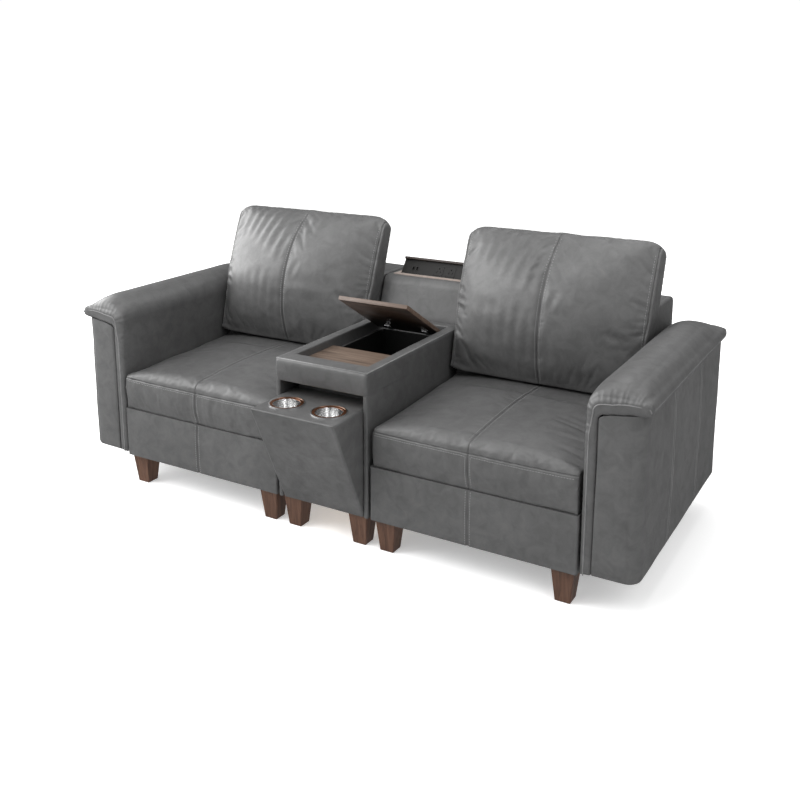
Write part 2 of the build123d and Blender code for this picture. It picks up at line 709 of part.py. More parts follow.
def hinge_arm(x):
    """The arm under the lid, bent up behind the lid's rear edge to a barrel between the leaf's two."""
    half = HINGE_W / 2
    plate_z = WOOD_TOP - LID_T
    back = LID_REAR_Y + HINGE_PLAY
    knuckle = HINGE_KNUCKLE / 2
    arm = board(x - half, x + half, back - HINGE_PLATE_L, back + HINGE_GAUGE, plate_z - HINGE_GAUGE, plate_z)
    arm += board(x - half, x + half, back, back + HINGE_GAUGE, plate_z - HINGE_GAUGE, LID_HINGE_Z)
    arm += board(x - knuckle, x + knuckle, back, LID_HINGE_Y, LID_HINGE_Z - HINGE_GAUGE, LID_HINGE_Z)
    arm += crosswise(x - knuckle, x + knuckle, LID_HINGE_Y, LID_HINGE_Z, HINGE_BARREL_R)
    return arm - crosswise(x - knuckle - 1, x + knuckle + 1, LID_HINGE_Y, LID_HINGE_Z, HINGE_PIN_R + PIN_FIT)


def hinge_pin(x):
    return crosswise(x - HINGE_W / 2, x + HINGE_W / 2, LID_HINGE_Y, LID_HINGE_Z, HINGE_PIN_R)


def stop_rear_y():
    return STOP_Y + STOP_T


def plate_rear_y():
    """The rear end of the open drawer's top plate, behind the lip that meets the stop rail."""
    return stop_rear_y() + SOFT_FIT + STOP_LIP_T


def drawer_outline():
    """The shut drawer from the side: upright front, top falling to the rear, heel at the pivot."""
    length = plate_rear_y() - DRAWER_BROW_Y
    rear = (length * math.cos(TILT), DRAWER_TOP - length * math.sin(TILT))
    heel = [(DRAWER_HEEL, DRAWER_FOOT_Z + DRAWER_HEEL_H), (DRAWER_HEEL, DRAWER_FOOT_Z)]
    return [(0, DRAWER_FOOT_Z), (0, DRAWER_TOP), rear] + heel


def drawer_cheek():
    cheek = outline(CHEEK_IN, DRAWER_HALF, drawer_outline(), [0, DRAWER_ROUND, 0, 0, 0])
    cheek -= crosswise(CHEEK_IN - 1, DRAWER_HALF + 1, PIVOT_Y, PIVOT_Z, PIVOT_R + PIN_FIT)
    return cheek.rotate(DRAWER_AXIS, DRAWER_TILT)


def drawer_front():
    inner_top = DRAWER_TOP - DRAWER_SKIN * math.tan(TILT)
    points = [(0, DRAWER_FOOT_Z), (0, DRAWER_TOP), (DRAWER_SKIN, inner_top), (DRAWER_SKIN, DRAWER_FOOT_Z)]
    panel = outline(-CHEEK_IN, CHEEK_IN, points, [0, DRAWER_ROUND, 0, 0])
    return panel.rotate(DRAWER_AXIS, DRAWER_TILT)


def drawer_rail():
    """A rail between the cheeks behind the front's foot."""
    rail = board(-CHEEK_IN, CHEEK_IN, DRAWER_SKIN, DRAWER_HEEL, DRAWER_FOOT_Z, DRAWER_FOOT_Z + RAIL_H)
    return rail.rotate(DRAWER_AXIS, DRAWER_TILT)


def drawer_top():
    """The level top plate of the open drawer, bored for the cups, with a stop lip at its rear."""
    front = DRAWER_BROW_Y + DRAWER_SKIN / math.cos(TILT)
    low = CUP_TOP_Z - DRAWER_SKIN
    rear = plate_rear_y()
    lip = CUP_TOP_Z + STOP_LIP_H
    points = [
        (front, CUP_TOP_Z), (rear - STOP_LIP_T, CUP_TOP_Z), (rear - STOP_LIP_T, lip), (rear, lip),
        (rear, low), (front + DRAWER_SKIN * math.tan(TILT), low),
    ]
    plate = outline(-CHEEK_IN, CHEEK_IN, points, [0] * len(points))
    for x in (-CUP_X, CUP_X):
        plate -= upright(x, CUP_Y, low - 1, CUP_TOP_Z + 1, CUP_R + CUP_WALL + CUP_HOLE_FIT)
    return plate


def cup(x):
    """A drawn steel cup with a flange that lies on the top plate and stands up in a lip at its edge."""
    outer = CUP_R + CUP_WALL
    channel = CUP_FLANGE_R - CUP_LIP_W
    profile = [
        (0, -CUP_DEPTH), (outer, -CUP_DEPTH), (outer, 0), (CUP_FLANGE_R, 0), (CUP_FLANGE_R, CUP_LIP_H),
        (channel, CUP_LIP_H), (channel, CUP_FLANGE_T), (CUP_R, CUP_FLANGE_T),
        (CUP_R, CUP_WALL - CUP_DEPTH), (0, CUP_WALL - CUP_DEPTH),
    ]
    body = revolve(Plane.XZ * make_face(Polyline(*profile, close=True)), Axis.Z)
    return Pos(x, CUP_Y, CUP_TOP_Z) * body


def cup_ring(x):
    """The coloured ring that lies in the flange's channel."""
    middle = CUP_TOP_Z + CUP_FLANGE_T
    outer = upright(x, CUP_Y, middle, middle + RING_T, CUP_FLANGE_R - CUP_LIP_W - RING_FIT)
    return outer - upright(x, CUP_Y, middle - 1, middle + RING_T + 1, CUP_R + CUP_WALL)


def pivot_pin():
    return crosswise(CHEEK_IN, CARCASS_HALF + PIVOT_IN_SIDE, PIVOT_Y, PIVOT_Z, PIVOT_R)


def stop_rail():
    return board(-CARCASS_HALF, CARCASS_HALF, STOP_Y, stop_rear_y(), CUP_TOP_Z + STOP_ABOVE, RIM_BOTTOM)


def well_limits():
    """The inside of the power unit's well: front, rear and floor."""
    return (POWER_HINGE_Y - WELL_FRONT, POWER_HINGE_Y + WELL_REAR, POWER_HINGE_Z - WELL_FLOOR)


def console_back():
    """The console's backrest skin, cut through at the top for the power unit's well."""
    front, rear, _ = well_limits()
    half = WELL_HALF_W + POWER_WALL
    hole = board(-half, half, front - POWER_WALL, rear + POWER_WALL, BACK_TOP - 2 * BACK_SKIN, BACK_TOP + 1)
    panels = back_cover(-CONSOLE_HALF, CONSOLE_HALF, console_back_outline(0), console_back_outline(1))
    return [panels[0] - hole] + panels[1:]


def power_trim():
    front, rear, _ = well_limits()
    half = WELL_HALF_W + TRIM_SIDE
    plate = board(-half, half, front - TRIM_FRONT, rear + TRIM_SIDE, BACK_TOP, BACK_TOP + TRIM_T)
    return plate - board(-WELL_HALF_W, WELL_HALF_W, front, rear, BACK_TOP - 1, BACK_TOP + TRIM_T + 1)


def power_well():
    """The open-topped box that hangs from the trim and carries the hinge pins."""
    front, rear, floor = well_limits()
    half = WELL_HALF_W + POWER_WALL
    box = board(-half, half, front - POWER_WALL, rear + POWER_WALL, floor - POWER_WALL, BACK_TOP)
    box -= board(-WELL_HALF_W, WELL_HALF_W, front, rear, floor, BACK_TOP + 1)
    return box - crosswise(-half - 1, half + 1, POWER_HINGE_Y, POWER_HINGE_Z, POWER_PIN_R + PIN_FIT)


def power_pin():
    end = WELL_HALF_W + POWER_WALL
    return crosswise(end - POWER_PIN_L, end, POWER_HINGE_Y, POWER_HINGE_Z, POWER_PIN_R)


def power_lid():
    front = POWER_HINGE_Y - POWER_LID_REACH
    rear = POWER_HINGE_Y + POWER_LID_TAIL
    lid = board(-POWER_HALF_W, POWER_HALF_W, front, rear, BACK_TOP - POWER_LID_T, BACK_TOP)
    lid = fillet(lid.edges().group_by(Axis.Z)[-1], LID_EDGE)
    return lid.rotate(POWER_AXIS, -POWER_TILT)


def on_face(x, half_w, half_h, depth, proud):
    """A block let into the socket face of the shut unit, centred on the face's height."""
    middle = BACK_TOP - POWER_LID_T - POWER_FACE_H / 2
    return board(x - half_w, x + half_w, POWER_FACE_Y - proud, POWER_FACE_Y + depth,
                 middle - half_h, middle + half_h)


def power_box():
    """The wedge under the lid: socket face in front, floor rising to the hinge, pockets for its sockets."""
    top = BACK_TOP - POWER_LID_T
    tail = POWER_HINGE_Y + POWER_TAIL
    face_low = top - POWER_FACE_H
    points = [(POWER_FACE_Y, face_low), (POWER_FACE_Y, top), (tail, top), (tail, top - POWER_TAIL_H)]
    box = outline(-POWER_HALF_W, POWER_HALF_W, points, [0, 0, 0, 0])
    pockets = [(x, SOCKET_W, SOCKET_W) for x in SOCKET_XS] + [(x, PORT_BODY_W, PORT_BODY_H) for x in PORT_XS]
    for x, width, height in pockets:
        depth = SOCKET_DEPTH + POCKET_FIT
        box -= on_face(x, width / 2 + POCKET_FIT, height / 2 + POCKET_FIT, depth, 1)
    bore = POWER_PIN_L + POCKET_FIT - POWER_WALL - POWER_SIDE_GAP
    for end in both_sides(crosswise(POWER_HALF_W - bore, POWER_HALF_W + 1, POWER_HINGE_Y, POWER_HINGE_Z,
                                    POWER_PIN_R + PIN_FIT)):
        box -= end
    return box.rotate(POWER_AXIS, -POWER_TILT)


def power_socket(x):
    """A square socket insert with two blade slots and a round earth hole above them."""
    half = SOCKET_W / 2
    insert = on_face(x, half, half, SOCKET_DEPTH, SOCKET_PROUD)
    insert = fillet(insert.edges().filter_by(Axis.Y), SOCKET_W / 6)
    middle = BACK_TOP - POWER_LID_T - POWER_FACE_H / 2
    for side in (-SLOT_SPAN / 2, SLOT_SPAN / 2):
        insert -= board(x + side - SLOT_W / 2, x + side + SLOT_W / 2, POWER_FACE_Y - 2 * SOCKET_PROUD,
                        POWER_FACE_Y + SOCKET_DEPTH - SOCKET_PROUD, middle - SLOT_H, middle)
    earth = Pos(x, POWER_FACE_Y, middle + EARTH_UP) * Rot(90, 0, 0) * Cylinder(EARTH_R, 2 * PORT_DEPTH)
    return (insert - earth).rotate(POWER_AXIS, -POWER_TILT)


def charging_port(x):
    """A small port insert with an upright slot."""
    insert = on_face(x, PORT_BODY_W / 2, PORT_BODY_H / 2, SOCKET_DEPTH, SOCKET_PROUD)
    insert -= on_face(x, PORT_W / 2, PORT_H / 2, PORT_DEPTH, 2 * SOCKET_PROUD)
    return insert.rotate(POWER_AXIS, -POWER_TILT)


def joining_plates(x0, gap):
    """Pairs of plates that fill the gap between two modules, one plate on each."""
    pieces = []
    for y in PLATE_YS:
        for x in (x0, x0 + gap / 2):
            pieces.append(board(x, x + gap / 2, y, y + PLATE_L, PLATE_Z, PLATE_Z + PLATE_H))
    return pieces


os.makedirs("parts", exist_ok=True)

SEAT_LEGS = leg_places(SEAT_IN, SEAT_OUT)
CONSOLE_LEGS = leg_places(-CONSOLE_HALF, CONSOLE_HALF)

# Seats and arms, made for the right and mirrored for the left
for side in ("right", "left"):
    back_inner = seat_back_outline(1)
    module = {
        "seat_frame": seat_frame(SEAT_LEGS),
        "seat_webbing": seat_webbing(),
        "base_cover": base_cover(),
        "dust_cover": dust_cover(SEAT_LEGS),
        "seat_legs": legs(SEAT_LEGS),
        "seat_cushion": seat_cushion(),
        "backrest_frame": back_frame(back_inner),
        "backrest_cover": back_cover(SEAT_IN, SEAT_OUT, seat_back_outline(0), back_inner),
        "back_cushion": back_cushion(),
        "arm_frame": arm_frame(),
        "arm_panel": arm_panel(),
        "arm_pad": arm_pad(),
    }
    for name, shapes in module.items():
        save(f"{side}_{name}", *handed(side, shapes))

# Fasteners of the seats and plates between the modules, on both sides
shared = {
    "seat_leg_bolts": leg_bolts(SEAT_LEGS, LEG_H + BOLT_IN_BLOCK),
    "arm_plates": joining_plates(SEAT_OUT, ARM_GAP),
    "console_plates": joining_plates(CONSOLE_HALF, MODULE_GAP),
}
for name, shapes in shared.items():
    save(name, *shapes, *handed("left", shapes))

# Console carcass, rim, tray and storage
save("console_right_side", console_side())
save("console_left_side", mirror(console_side(), about=Plane.YZ))
save("console_floor", console_floor(CONSOLE_LEGS))
save("console_rear_panel", console_rear())
save("cable_grommet", cable_grommet())
save("console_legs", *legs(CONSOLE_LEGS))
save("console_leg_bolts", *leg_bolts(CONSOLE_LEGS, LEG_H + FLOOR_T))
save("console_rim", console_rim())
save("tray_board", tray_board())
save("storage_bin", storage_bin())
save("lid_hinge_leaves", hinge_leaf(-HINGE_X), hinge_leaf(HINGE_X))
save("lid_hinge_pins", hinge_pin(-HINGE_X), hinge_pin(HINGE_X))
save("storage_lid", storage_lid().rotate(LID_AXIS, -LID_OPEN))
save("lid_hinge_arms", *[hinge_arm(x).rotate(LID_AXIS, -LID_OPEN) for x in (-HINGE_X, HINGE_X)])

# Cup drawer
save("drawer_front", drawer_front())
save("drawer_cheeks", *both_sides(drawer_cheek()))
save("drawer_rail", drawer_rail())
save("drawer_top", drawer_top())
save("drawer_pivot_pins", *both_sides(pivot_pin()))
save("drawer_stop_rail", stop_rail())
for side, x in (("left", -CUP_X), ("right", CUP_X)):
    save(f"{side}_cup", cup(x))
    save(f"{side}_cup_ring", cup_ring(x))

# Console backrest and power unit
save("console_backrest", *console_back())
save("power_trim", power_trim())
save("power_well", power_well())
save("power_hinge_pins", *both_sides(power_pin()))
save("power_lid", power_lid())
save("power_box", power_box())
save("power_sockets", *[power_socket(x) for x in SOCKET_XS])
save("charging_ports", *[charging_port(x) for x in PORT_XS])
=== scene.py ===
import math

import bmesh
import bpy
import numpy as np
from mathutils import Matrix, Vector, noise
from mathutils.bvhtree import BVHTree


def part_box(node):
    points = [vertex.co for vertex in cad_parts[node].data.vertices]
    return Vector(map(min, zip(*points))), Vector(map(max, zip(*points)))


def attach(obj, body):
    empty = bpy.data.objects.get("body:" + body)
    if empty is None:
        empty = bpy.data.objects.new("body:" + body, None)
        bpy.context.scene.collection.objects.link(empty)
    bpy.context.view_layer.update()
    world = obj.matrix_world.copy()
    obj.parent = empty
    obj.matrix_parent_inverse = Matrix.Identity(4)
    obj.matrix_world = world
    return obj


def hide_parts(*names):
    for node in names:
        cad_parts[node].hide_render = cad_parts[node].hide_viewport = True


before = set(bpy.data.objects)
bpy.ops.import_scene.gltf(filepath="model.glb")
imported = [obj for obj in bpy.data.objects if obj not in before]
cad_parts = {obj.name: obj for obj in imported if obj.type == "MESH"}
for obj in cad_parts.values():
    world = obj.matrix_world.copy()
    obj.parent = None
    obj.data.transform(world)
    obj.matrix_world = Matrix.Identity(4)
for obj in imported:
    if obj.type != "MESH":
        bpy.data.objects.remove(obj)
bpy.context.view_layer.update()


# Legs. Solid walnut, sawn square with a taper down to the foot and eased on every edge.
# Each leg is bolted up into the block above it, and its grain runs up and down.
LEG_HEAD = 0.066
LEG_FOOT = 0.045
LEG_EASE = 0.002
TINY = 1e-6
SHARP = math.radians(50)


def put_together(name, bm, material):
    """An object at the origin from a bmesh, smooth shaded, with one material."""
    mesh = bpy.data.meshes.new(name)
    bm.to_mesh(mesh)
    bm.free()
    mesh.polygons.foreach_set("use_smooth", [True] * len(mesh.polygons))
    mesh.materials.append(material)
    piece = bpy.data.objects.new(name, mesh)
    bpy.context.scene.collection.objects.link(piece)
    return piece


def round_edges(bm, chosen, radius, segments=4):
    """Rounds the edges that chosen accepts, given an edge's two ends."""
    edges = [e for e in bm.edges if chosen(e.verts[0].co, e.verts[1].co)]
    bmesh.ops.bevel(bm, geom=edges, offset=radius, affect="EDGES", segments=segments, profile=0.5,
                    material=-1)


def keep_faces_flat(piece):
    """Shades a wide face flat up to its rounded edges, and breaks the shading at sharp ones."""
    bm = bmesh.new()
    bm.from_mesh(piece.data)
    for edge in bm.edges:
        edge.smooth = edge.calc_face_angle(0) < SHARP
    bm.to_mesh(piece.data)
    bm.free()
    flat = piece.modifiers.new("flat faces", "WEIGHTED_NORMAL")
    flat.weight = 60
    flat.keep_sharp = True


def shader(name):
    """A new node material: its tree, its surface shader and its object coordinates."""
    material = bpy.data.materials.new(name)
    material.use_nodes = True
    tree = material.node_tree
    surface = tree.nodes["Principled BSDF"]
    place = tree.nodes.new("ShaderNodeTexCoord").outputs["Object"]
    return material, tree, surface, place


def set_up(node, values):
    """Sets a shader node's inputs by name."""
    for name, value in values.items():
        node.inputs[name].default_value = value


def noise_map(tree, place, scale, detail, roughness, stretch=(1, 1, 1), distortion=0.0):
    """A noise pattern of so many cells a metre, stretched along the axes."""
    mapping = tree.nodes.new("ShaderNodeMapping")
    set_up(mapping, {"Scale": stretch})
    tree.links.new(place, mapping.inputs["Vector"])
    pattern = tree.nodes.new("ShaderNodeTexNoise")
    set_up(pattern, {"Scale": scale, "Detail": detail, "Roughness": roughness, "Distortion": distortion})
    tree.links.new(mapping.outputs["Vector"], pattern.inputs["Vector"])
    return pattern.outputs["Fac"]


def ramp(tree, value, *stops):
    """Colours laid over a pattern's values."""
    node = tree.nodes.new("ShaderNodeValToRGB")
    while len(node.color_ramp.elements) < len(stops):
        node.color_ramp.elements.new(0.5)
    for element, (at, colour) in zip(node.color_ramp.elements, stops):
        element.position = at
        element.color = (*colour, 1)
    tree.links.new(value, node.inputs["Fac"])
    return node.outputs["Color"]


def spread(tree, value, low, high):
    """A pattern's values carried to the range from low to high."""
    node = tree.nodes.new("ShaderNodeMapRange")
    set_up(node, {"From Min": 0.3, "From Max": 0.7, "To Min": low, "To Max": high})
    tree.links.new(value, node.inputs["Value"])
    return node.outputs["Result"]


def rough_up(tree, surface, height, distance, strength):
    """Fine relief from a pattern."""
    node = tree.nodes.new("ShaderNodeBump")
    set_up(node, {"Distance": distance, "Strength": strength})
    tree.links.new(height, node.inputs["Height"])
    tree.links.new(node.outputs["Normal"], surface.inputs["Normal"])


def walnut(name, along, dark, middle, light):
    """Lacquered walnut: long streaks, fine pores, and a satin surface, with the grain along one axis."""
    material, tree, surface, place = shader(name)
    streak = [1.0, 1.0, 1.0]
    streak[along] = 0.05
    figure = noise_map(tree, place, 62, 5, 0.62, streak, 1.4)
    pores = noise_map(tree, place, 420, 3, 0.6, streak)
    colour = ramp(tree, figure, (0.3, dark), (0.5, middle), (0.72, light))
    tree.links.new(colour, surface.inputs["Base Color"])
    tree.links.new(spread(tree, pores, 0.42, 0.56), surface.inputs["Roughness"])
    rough_up(tree, surface, pores, 0.0004, 0.35)
    return material


leg_walnut = walnut("leg_walnut", 2, (0.042, 0.018, 0.01), (0.085, 0.039, 0.022), (0.12, 0.06, 0.036))
for name in ("left_seat_legs", "right_seat_legs", "console_legs"):
    low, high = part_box(name)
    bm = bmesh.new()
    for x in (low[0] + LEG_HEAD / 2, high[0] - LEG_HEAD / 2):
        for y in (low[1] + LEG_HEAD / 2, high[1] - LEG_HEAD / 2):
            place = Matrix.LocRotScale((x, y, high[2] / 2), None, (LEG_HEAD, LEG_HEAD, high[2]))
            corners = bmesh.ops.create_cube(bm, size=1, matrix=place)["verts"]
            foot = [v for v in corners if v.co.z < high[2] / 2]
            taper = Vector((LEG_FOOT / LEG_HEAD, LEG_FOOT / LEG_HEAD, 1))
            bmesh.ops.scale(bm, vec=taper, space=Matrix.Translation((-x, -y, 0)), verts=foot)
    round_edges(bm, lambda a, b: True, LEG_EASE, 2)
    legs = put_together(name + "_walnut", bm, leg_walnut)
    keep_faces_flat(legs)
    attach(legs, "sofa")
    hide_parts(name)


# Wooden frames and boards. Plywood and raw softwood, glued and screwed together inside the modules,
# seen only from below and behind.
def dress(material, *names):
    """Gives solids that keep their own shape their finish."""
    for name in names:
        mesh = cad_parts[name].data
        mesh.materials.clear()
        mesh.materials.append(material)


def patterned(name, pattern, dark, light, inputs, shine=None, relief=None):
    """A finish whose colour follows one noise pattern, and its shine and relief too where given."""
    material, tree, surface, place = shader(name)
    value = noise_map(tree, place, *pattern)
    tree.links.new(ramp(tree, value, (0.3, dark), (0.7, light)), surface.inputs["Base Color"])
    set_up(surface, inputs)
    if shine:
        tree.links.new(spread(tree, value, *shine), surface.inputs["Roughness"])
    if relief:
        rough_up(tree, surface, value, *relief)
    return material


plywood = patterned("plywood", (30, 4, 0.6, (0.12, 1, 1), 0.6), (0.28, 0.19, 0.11), (0.5, 0.38, 0.25),
                    {"Roughness": 0.7}, relief=(0.0005, 0.3))
dress(plywood, "left_seat_frame", "right_seat_frame", "left_backrest_frame", "right_backrest_frame",
      "left_arm_frame", "right_arm_frame", "console_floor", "drawer_rail", "drawer_stop_rail")


# Webbing and dust covers. Black elastic straps carry the cushions, and a thin black cloth closes
# each base from below.
def woven(name, dark, light, threads):
    """A plain weave of so many threads a metre."""
    material, tree, surface, place = shader(name)
    weave = tree.nodes.new("ShaderNodeTexChecker")
    set_up(weave, {"Scale": threads, "Color1": (*dark, 1), "Color2": (*light, 1)})
    tree.links.new(place, weave.inputs["Vector"])
    tree.links.new(weave.outputs["Color"], surface.inputs["Base Color"])
    set_up(surface, {"Roughness": 0.85})
    rough_up(tree, surface, weave.outputs["Fac"], 0.0004, 0.6)
    return material


strap_weave = woven("strap_weave", (0.02, 0.02, 0.02), (0.07, 0.065, 0.06), 500)
dress(strap_weave, "left_seat_webbing", "right_seat_webbing")
dust_cloth = woven("dust_cloth", (0.012, 0.012, 0.012), (0.025, 0.025, 0.025), 900)
dress(dust_cloth, "left_dust_cover", "right_dust_cover")


# Bolts, joining plates, pins and hinge leaves. Plated steel, pressed or turned, with a faint brush.
# They hold the legs and the modules together and carry what turns.
def metal(name, colour, roughness, brush):
    """Plated or polished metal with fine scratches."""
    material, tree, surface, place = shader(name)
    marks = noise_map(tree, place, 260, 3, 0.6, (0.1, 1, 1))
    set_up(surface, {"Base Color": (*colour, 1), "Metallic": 1})
    tree.links.new(spread(tree, marks, roughness, roughness + brush), surface.inputs["Roughness"])
    rough_up(tree, surface, marks, 0.0001, brush)
    return material


plated_steel = metal("plated_steel", (0.62, 0.62, 0.63), 0.24, 0.12)
dress(plated_steel, "seat_leg_bolts", "console_leg_bolts", "arm_plates", "console_plates",
      "drawer_pivot_pins", "power_hinge_pins", "lid_hinge_leaves", "lid_hinge_pins", "lid_hinge_arms")


# Seat bases. Grey leather pulled over thinly padded boards all round, with a sewn join down the
# middle of the front. The cover wraps under the bottom edge and is stapled there.
def leather(name, tone):
    """Smooth grey leather: cloudy tone, small lighter scuffs, pores, and a soft satin shine."""
    material, tree, surface, place = shader(name)
    clouds = noise_map(tree, place, 5, 4, 0.55, distortion=0.4)
    scuffs = noise_map(tree, place, 26, 5, 0.65, distortion=0.6)
    pores = noise_map(tree, place, 900, 2, 0.5)
    hide = noise_map(tree, place, 210, 4, 0.6)
    cloudy = ramp(tree, clouds, (0.3, [tone * 0.9] * 3), (0.7, [tone * 1.1] * 3))
    worn = ramp(tree, scuffs, (0.34, [0.85] * 3), (0.5, [1.0] * 3), (0.68, [1.15] * 3))
    mix = tree.nodes.new("ShaderNodeMix")
    mix.data_type = "RGBA"
    mix.blend_type = "MULTIPLY"
    set_up(mix, {"Factor": 1})
    tree.links.new(cloudy, mix.inputs["A"])
    tree.links.new(worn, mix.inputs["B"])
    tree.links.new(mix.outputs["Result"], surface.inputs["Base Color"])
    tree.links.new(spread(tree, scuffs, 0.52, 0.46), surface.inputs["Roughness"])
    set_up(surface, {"Specular IOR Level": 0.5})
    grain = tree.nodes.new("ShaderNodeMath")
    grain.operation = "ADD"
    tree.links.new(pores, grain.inputs[0])
    tree.links.new(hide, grain.inputs[1])
    rough_up(tree, surface, grain.outputs["Value"], 0.0005, 0.35)
    return material


grey_leather = leather("grey_leather", 0.068)


def block(low, high):
    """A bmesh box between two corners."""
    bm = bmesh.new()
    size = [b - a for a, b in zip(low, high)]
    middle = [(a + b) / 2 for a, b in zip(low, high)]
    bmesh.ops.create_cube(bm, size=1, matrix=Matrix.LocRotScale(middle, None, size))
    return bm


def plane_at(axis, at):
    """The plane square to one axis, for bisect_plane."""
    point, normal = [0, 0, 0], [0, 0, 0]
    point[axis], normal[axis] = at, 1
    return {"plane_co": point, "plane_no": normal}


def cut_at(bm, axis, places):
    """Cuts all faces along planes square to one axis."""
    for at in places:
        everything = bm.verts[:] + bm.edges[:] + bm.faces[:]
        bmesh.ops.bisect_plane(bm, geom=everything, dist=TINY, **plane_at(axis, at))


def cut_grid(bm, low, high, cell):
    """Cuts a box into cells of about one size, so that its faces can swell."""
    for axis in range(3):
        count = max(1, round((high[axis] - low[axis]) / cell))
        step = (high[axis] - low[axis]) / count
        cut_at(bm, axis, [low[axis] + step * i for i in range(1, count)])


def swell(bm, low, high, crown):
    """Lets padding bulge each face of a box most in its middle."""
    for v in bm.verts:
        share = [2 * (v.co[i] - low[i]) / (high[i] - low[i]) - 1 for i in range(3)]
        push = Vector((0, 0, 0))
        for i in range(3):
            if abs(share[i]) > 0.999:
                full = 1.0
                for j in range(3):
                    if j != i:
                        full *= 1 - abs(share[j]) ** 3
                push[i] = math.copysign(crown * max(full, 0), share[i])
        v.co += push


def thicken(bm, thickness):
    """Gives an open skin its thickness, inwards."""
    bmesh.ops.recalc_face_normals(bm, faces=bm.faces[:])
    bmesh.ops.solidify(bm, geom=bm.faces[:], thickness=thickness)


SEAM_HALF = 0.006


def sewn_join(bm, axis, at, depth, facing):
    """Draws a face in along a sewn join, where facing accepts the point's normal."""
    cut_at(bm, axis, [at + SEAM_HALF * k for k in (-1, -0.6, -0.25, 0, 0.25, 0.6, 1)])
    bm.normal_update()
    for v in bm.verts:
        away = abs(v.co[axis] - at) / SEAM_HALF
        if away < 1 and facing(v.normal):
            v.co -= v.normal * depth * (1 - away * away) ** 2


thread_grey = patterned("thread_grey", (1500, 2, 0.5), [0.19] * 3, [0.28] * 3, {"Roughness": 0.6})

STITCH_PITCH = 0.0078
STITCH_LENGTH = 0.0054
STITCH_WIDTH = 0.0014
STITCH_REACH = 0.05
TOPSTITCH = 0.0075


def shown_mesh(piece):
    """A new mesh with the shape that a piece's modifiers give it."""
    bpy.context.view_layer.update()
    return bpy.data.meshes.new_from_object(piece.evaluated_get(bpy.context.evaluated_depsgraph_get()))


def surface_of(piece):
    """The piece's surface as it shows, to lay stitches on."""
    mesh = shown_mesh(piece)
    tree = BVHTree.FromPolygons([v.co.copy() for v in mesh.vertices], [p.vertices[:] for p in mesh.polygons])
    bpy.data.meshes.remove(mesh)
    return tree


def sewn_row(tree, start, end, towards):
    """Points on a surface below a straight run from start to end, a stitch apart, looking along towards."""
    start, end, towards = Vector(start), Vector(end), Vector(towards).normalized()
    count = max(2, round((end - start).length / STITCH_PITCH))
    hits = [tree.ray_cast(start.lerp(end, i / count), towards) for i in range(count + 1)]
    return [(hit[0], hit[1]) for hit in hits if hit[0] is not None]


def twin_rows(tree, start, end, towards, axis=0):
    """Two rows of stitches, one at each side of a join."""
    rows = []
    for aside in (-TOPSTITCH, TOPSTITCH):
        ends = [list(start), list(end)]
        for place in ends:
            place[axis] += aside
        rows.append(sewn_row(tree, *ends, towards))
    return rows


def sew(name, rows):
    """Lays a thread stitch between each two points of each row, fixed to the sofa."""
    bm = bmesh.new()
    for row in rows:
        for (a, up), (b, _) in zip(row, row[1:]):
            along = b - a
            if not 0.3 * STITCH_PITCH < along.length < 2.5 * STITCH_PITCH:
                continue
            turn = Vector((0, 0, 1)).rotation_difference(along.normalized())
            size = (STITCH_WIDTH, STITCH_WIDTH, min(STITCH_LENGTH, along.length * 0.75))
            place = Matrix.LocRotScale((a + b) / 2 + up.normalized() * STITCH_WIDTH * 0.12, turn, size)
            bmesh.ops.create_uvsphere(bm, u_segments=6, v_segments=4, radius=0.5, matrix=place)
    piece = put_together(name, bm, thread_grey)
    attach(piece, "sofa")


def upholster(piece, node):
    """A finished padded cover, fixed to the sofa in place of its solid."""
    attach(piece, "sofa")
    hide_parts(node)


def board_cover(node, bm):
    """Leather over a thinly padded board, flat up to its rounded edges, in place of its solid."""
    piece = put_together(node + "_leather", bm, grey_leather)
    keep_faces_flat(piece)
    upholster(piece, node)
    return piece


BASE_EDGE = 0.005
BASE_CELL = 0.03
BASE_CROWN = 0.0035
BASE_JOIN = 0.003
BASE_THICK = 0.008
for side in ("left", "right"):
    name = side + "_base_cover"
    low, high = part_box(name)
    bm = block(low, high)
    ends = [f for f in bm.faces if abs(f.normal.z) > 0.9]
    bmesh.ops.delete(bm, geom=ends, context="FACES_ONLY")
    round_edges(bm, lambda a, b: abs(a.x - b.x) + abs(a.y - b.y) < TINY, BASE_EDGE)
    cut_grid(bm, low, high, BASE_CELL)
    swell(bm, low, high, BASE_CROWN)
    join = (low[0] + high[0]) / 2
    sewn_join(bm, 0, join, BASE_JOIN, lambda n: n.y < -0.5)
    thicken(bm, BASE_THICK)
    cover = surface_of(board_cover(name, bm))
    front = low[1] - STITCH_REACH
    ends = (join, front, low[2] + 0.004), (join, front, high[2] - 0.003)
    sew(side + "_base_stitches", twin_rows(cover, *ends, (0, 1, 0)))


# Seat cushions. Foam in a boxed leather cover: a crowned top panel, a front border below a sewn
# edge, and a join down the middle of both. They lie on the webbing and are held at the rear.
CUSHION_VOXEL = 0.0065
SEAT_INSET = 0.004
SEAT_LIMIT = 0.007
SEAT_SPARE = 0.006
SEAT_SEAM_Z = 0.377
SEAT_SINK = 0.005
SEAT_HEM = 0.008
SEAT_EDGE = 0.0025
SEAT_JOIN = 0.0022
SEAT_WAVES = 0.0016
SEAT_PULL = 0.0009
GATHERS = 0.002
BORDER_FOLDS = 0.0045
SEAM = 0.0035
HELD_NEAR = 0.008
PRESSURE = 4.0
CLOTH_FRAMES = 20


def array_of(mesh, what):
    """One vector of each point of a mesh."""
    values = np.empty(len(mesh.vertices) * 3)
    mesh.vertices.foreach_get(what, values)
    return values.reshape(-1, 3)


def points_of(piece):
    """A piece's points and normals as arrays."""
    return array_of(piece.data, "co"), array_of(piece.data, "normal")


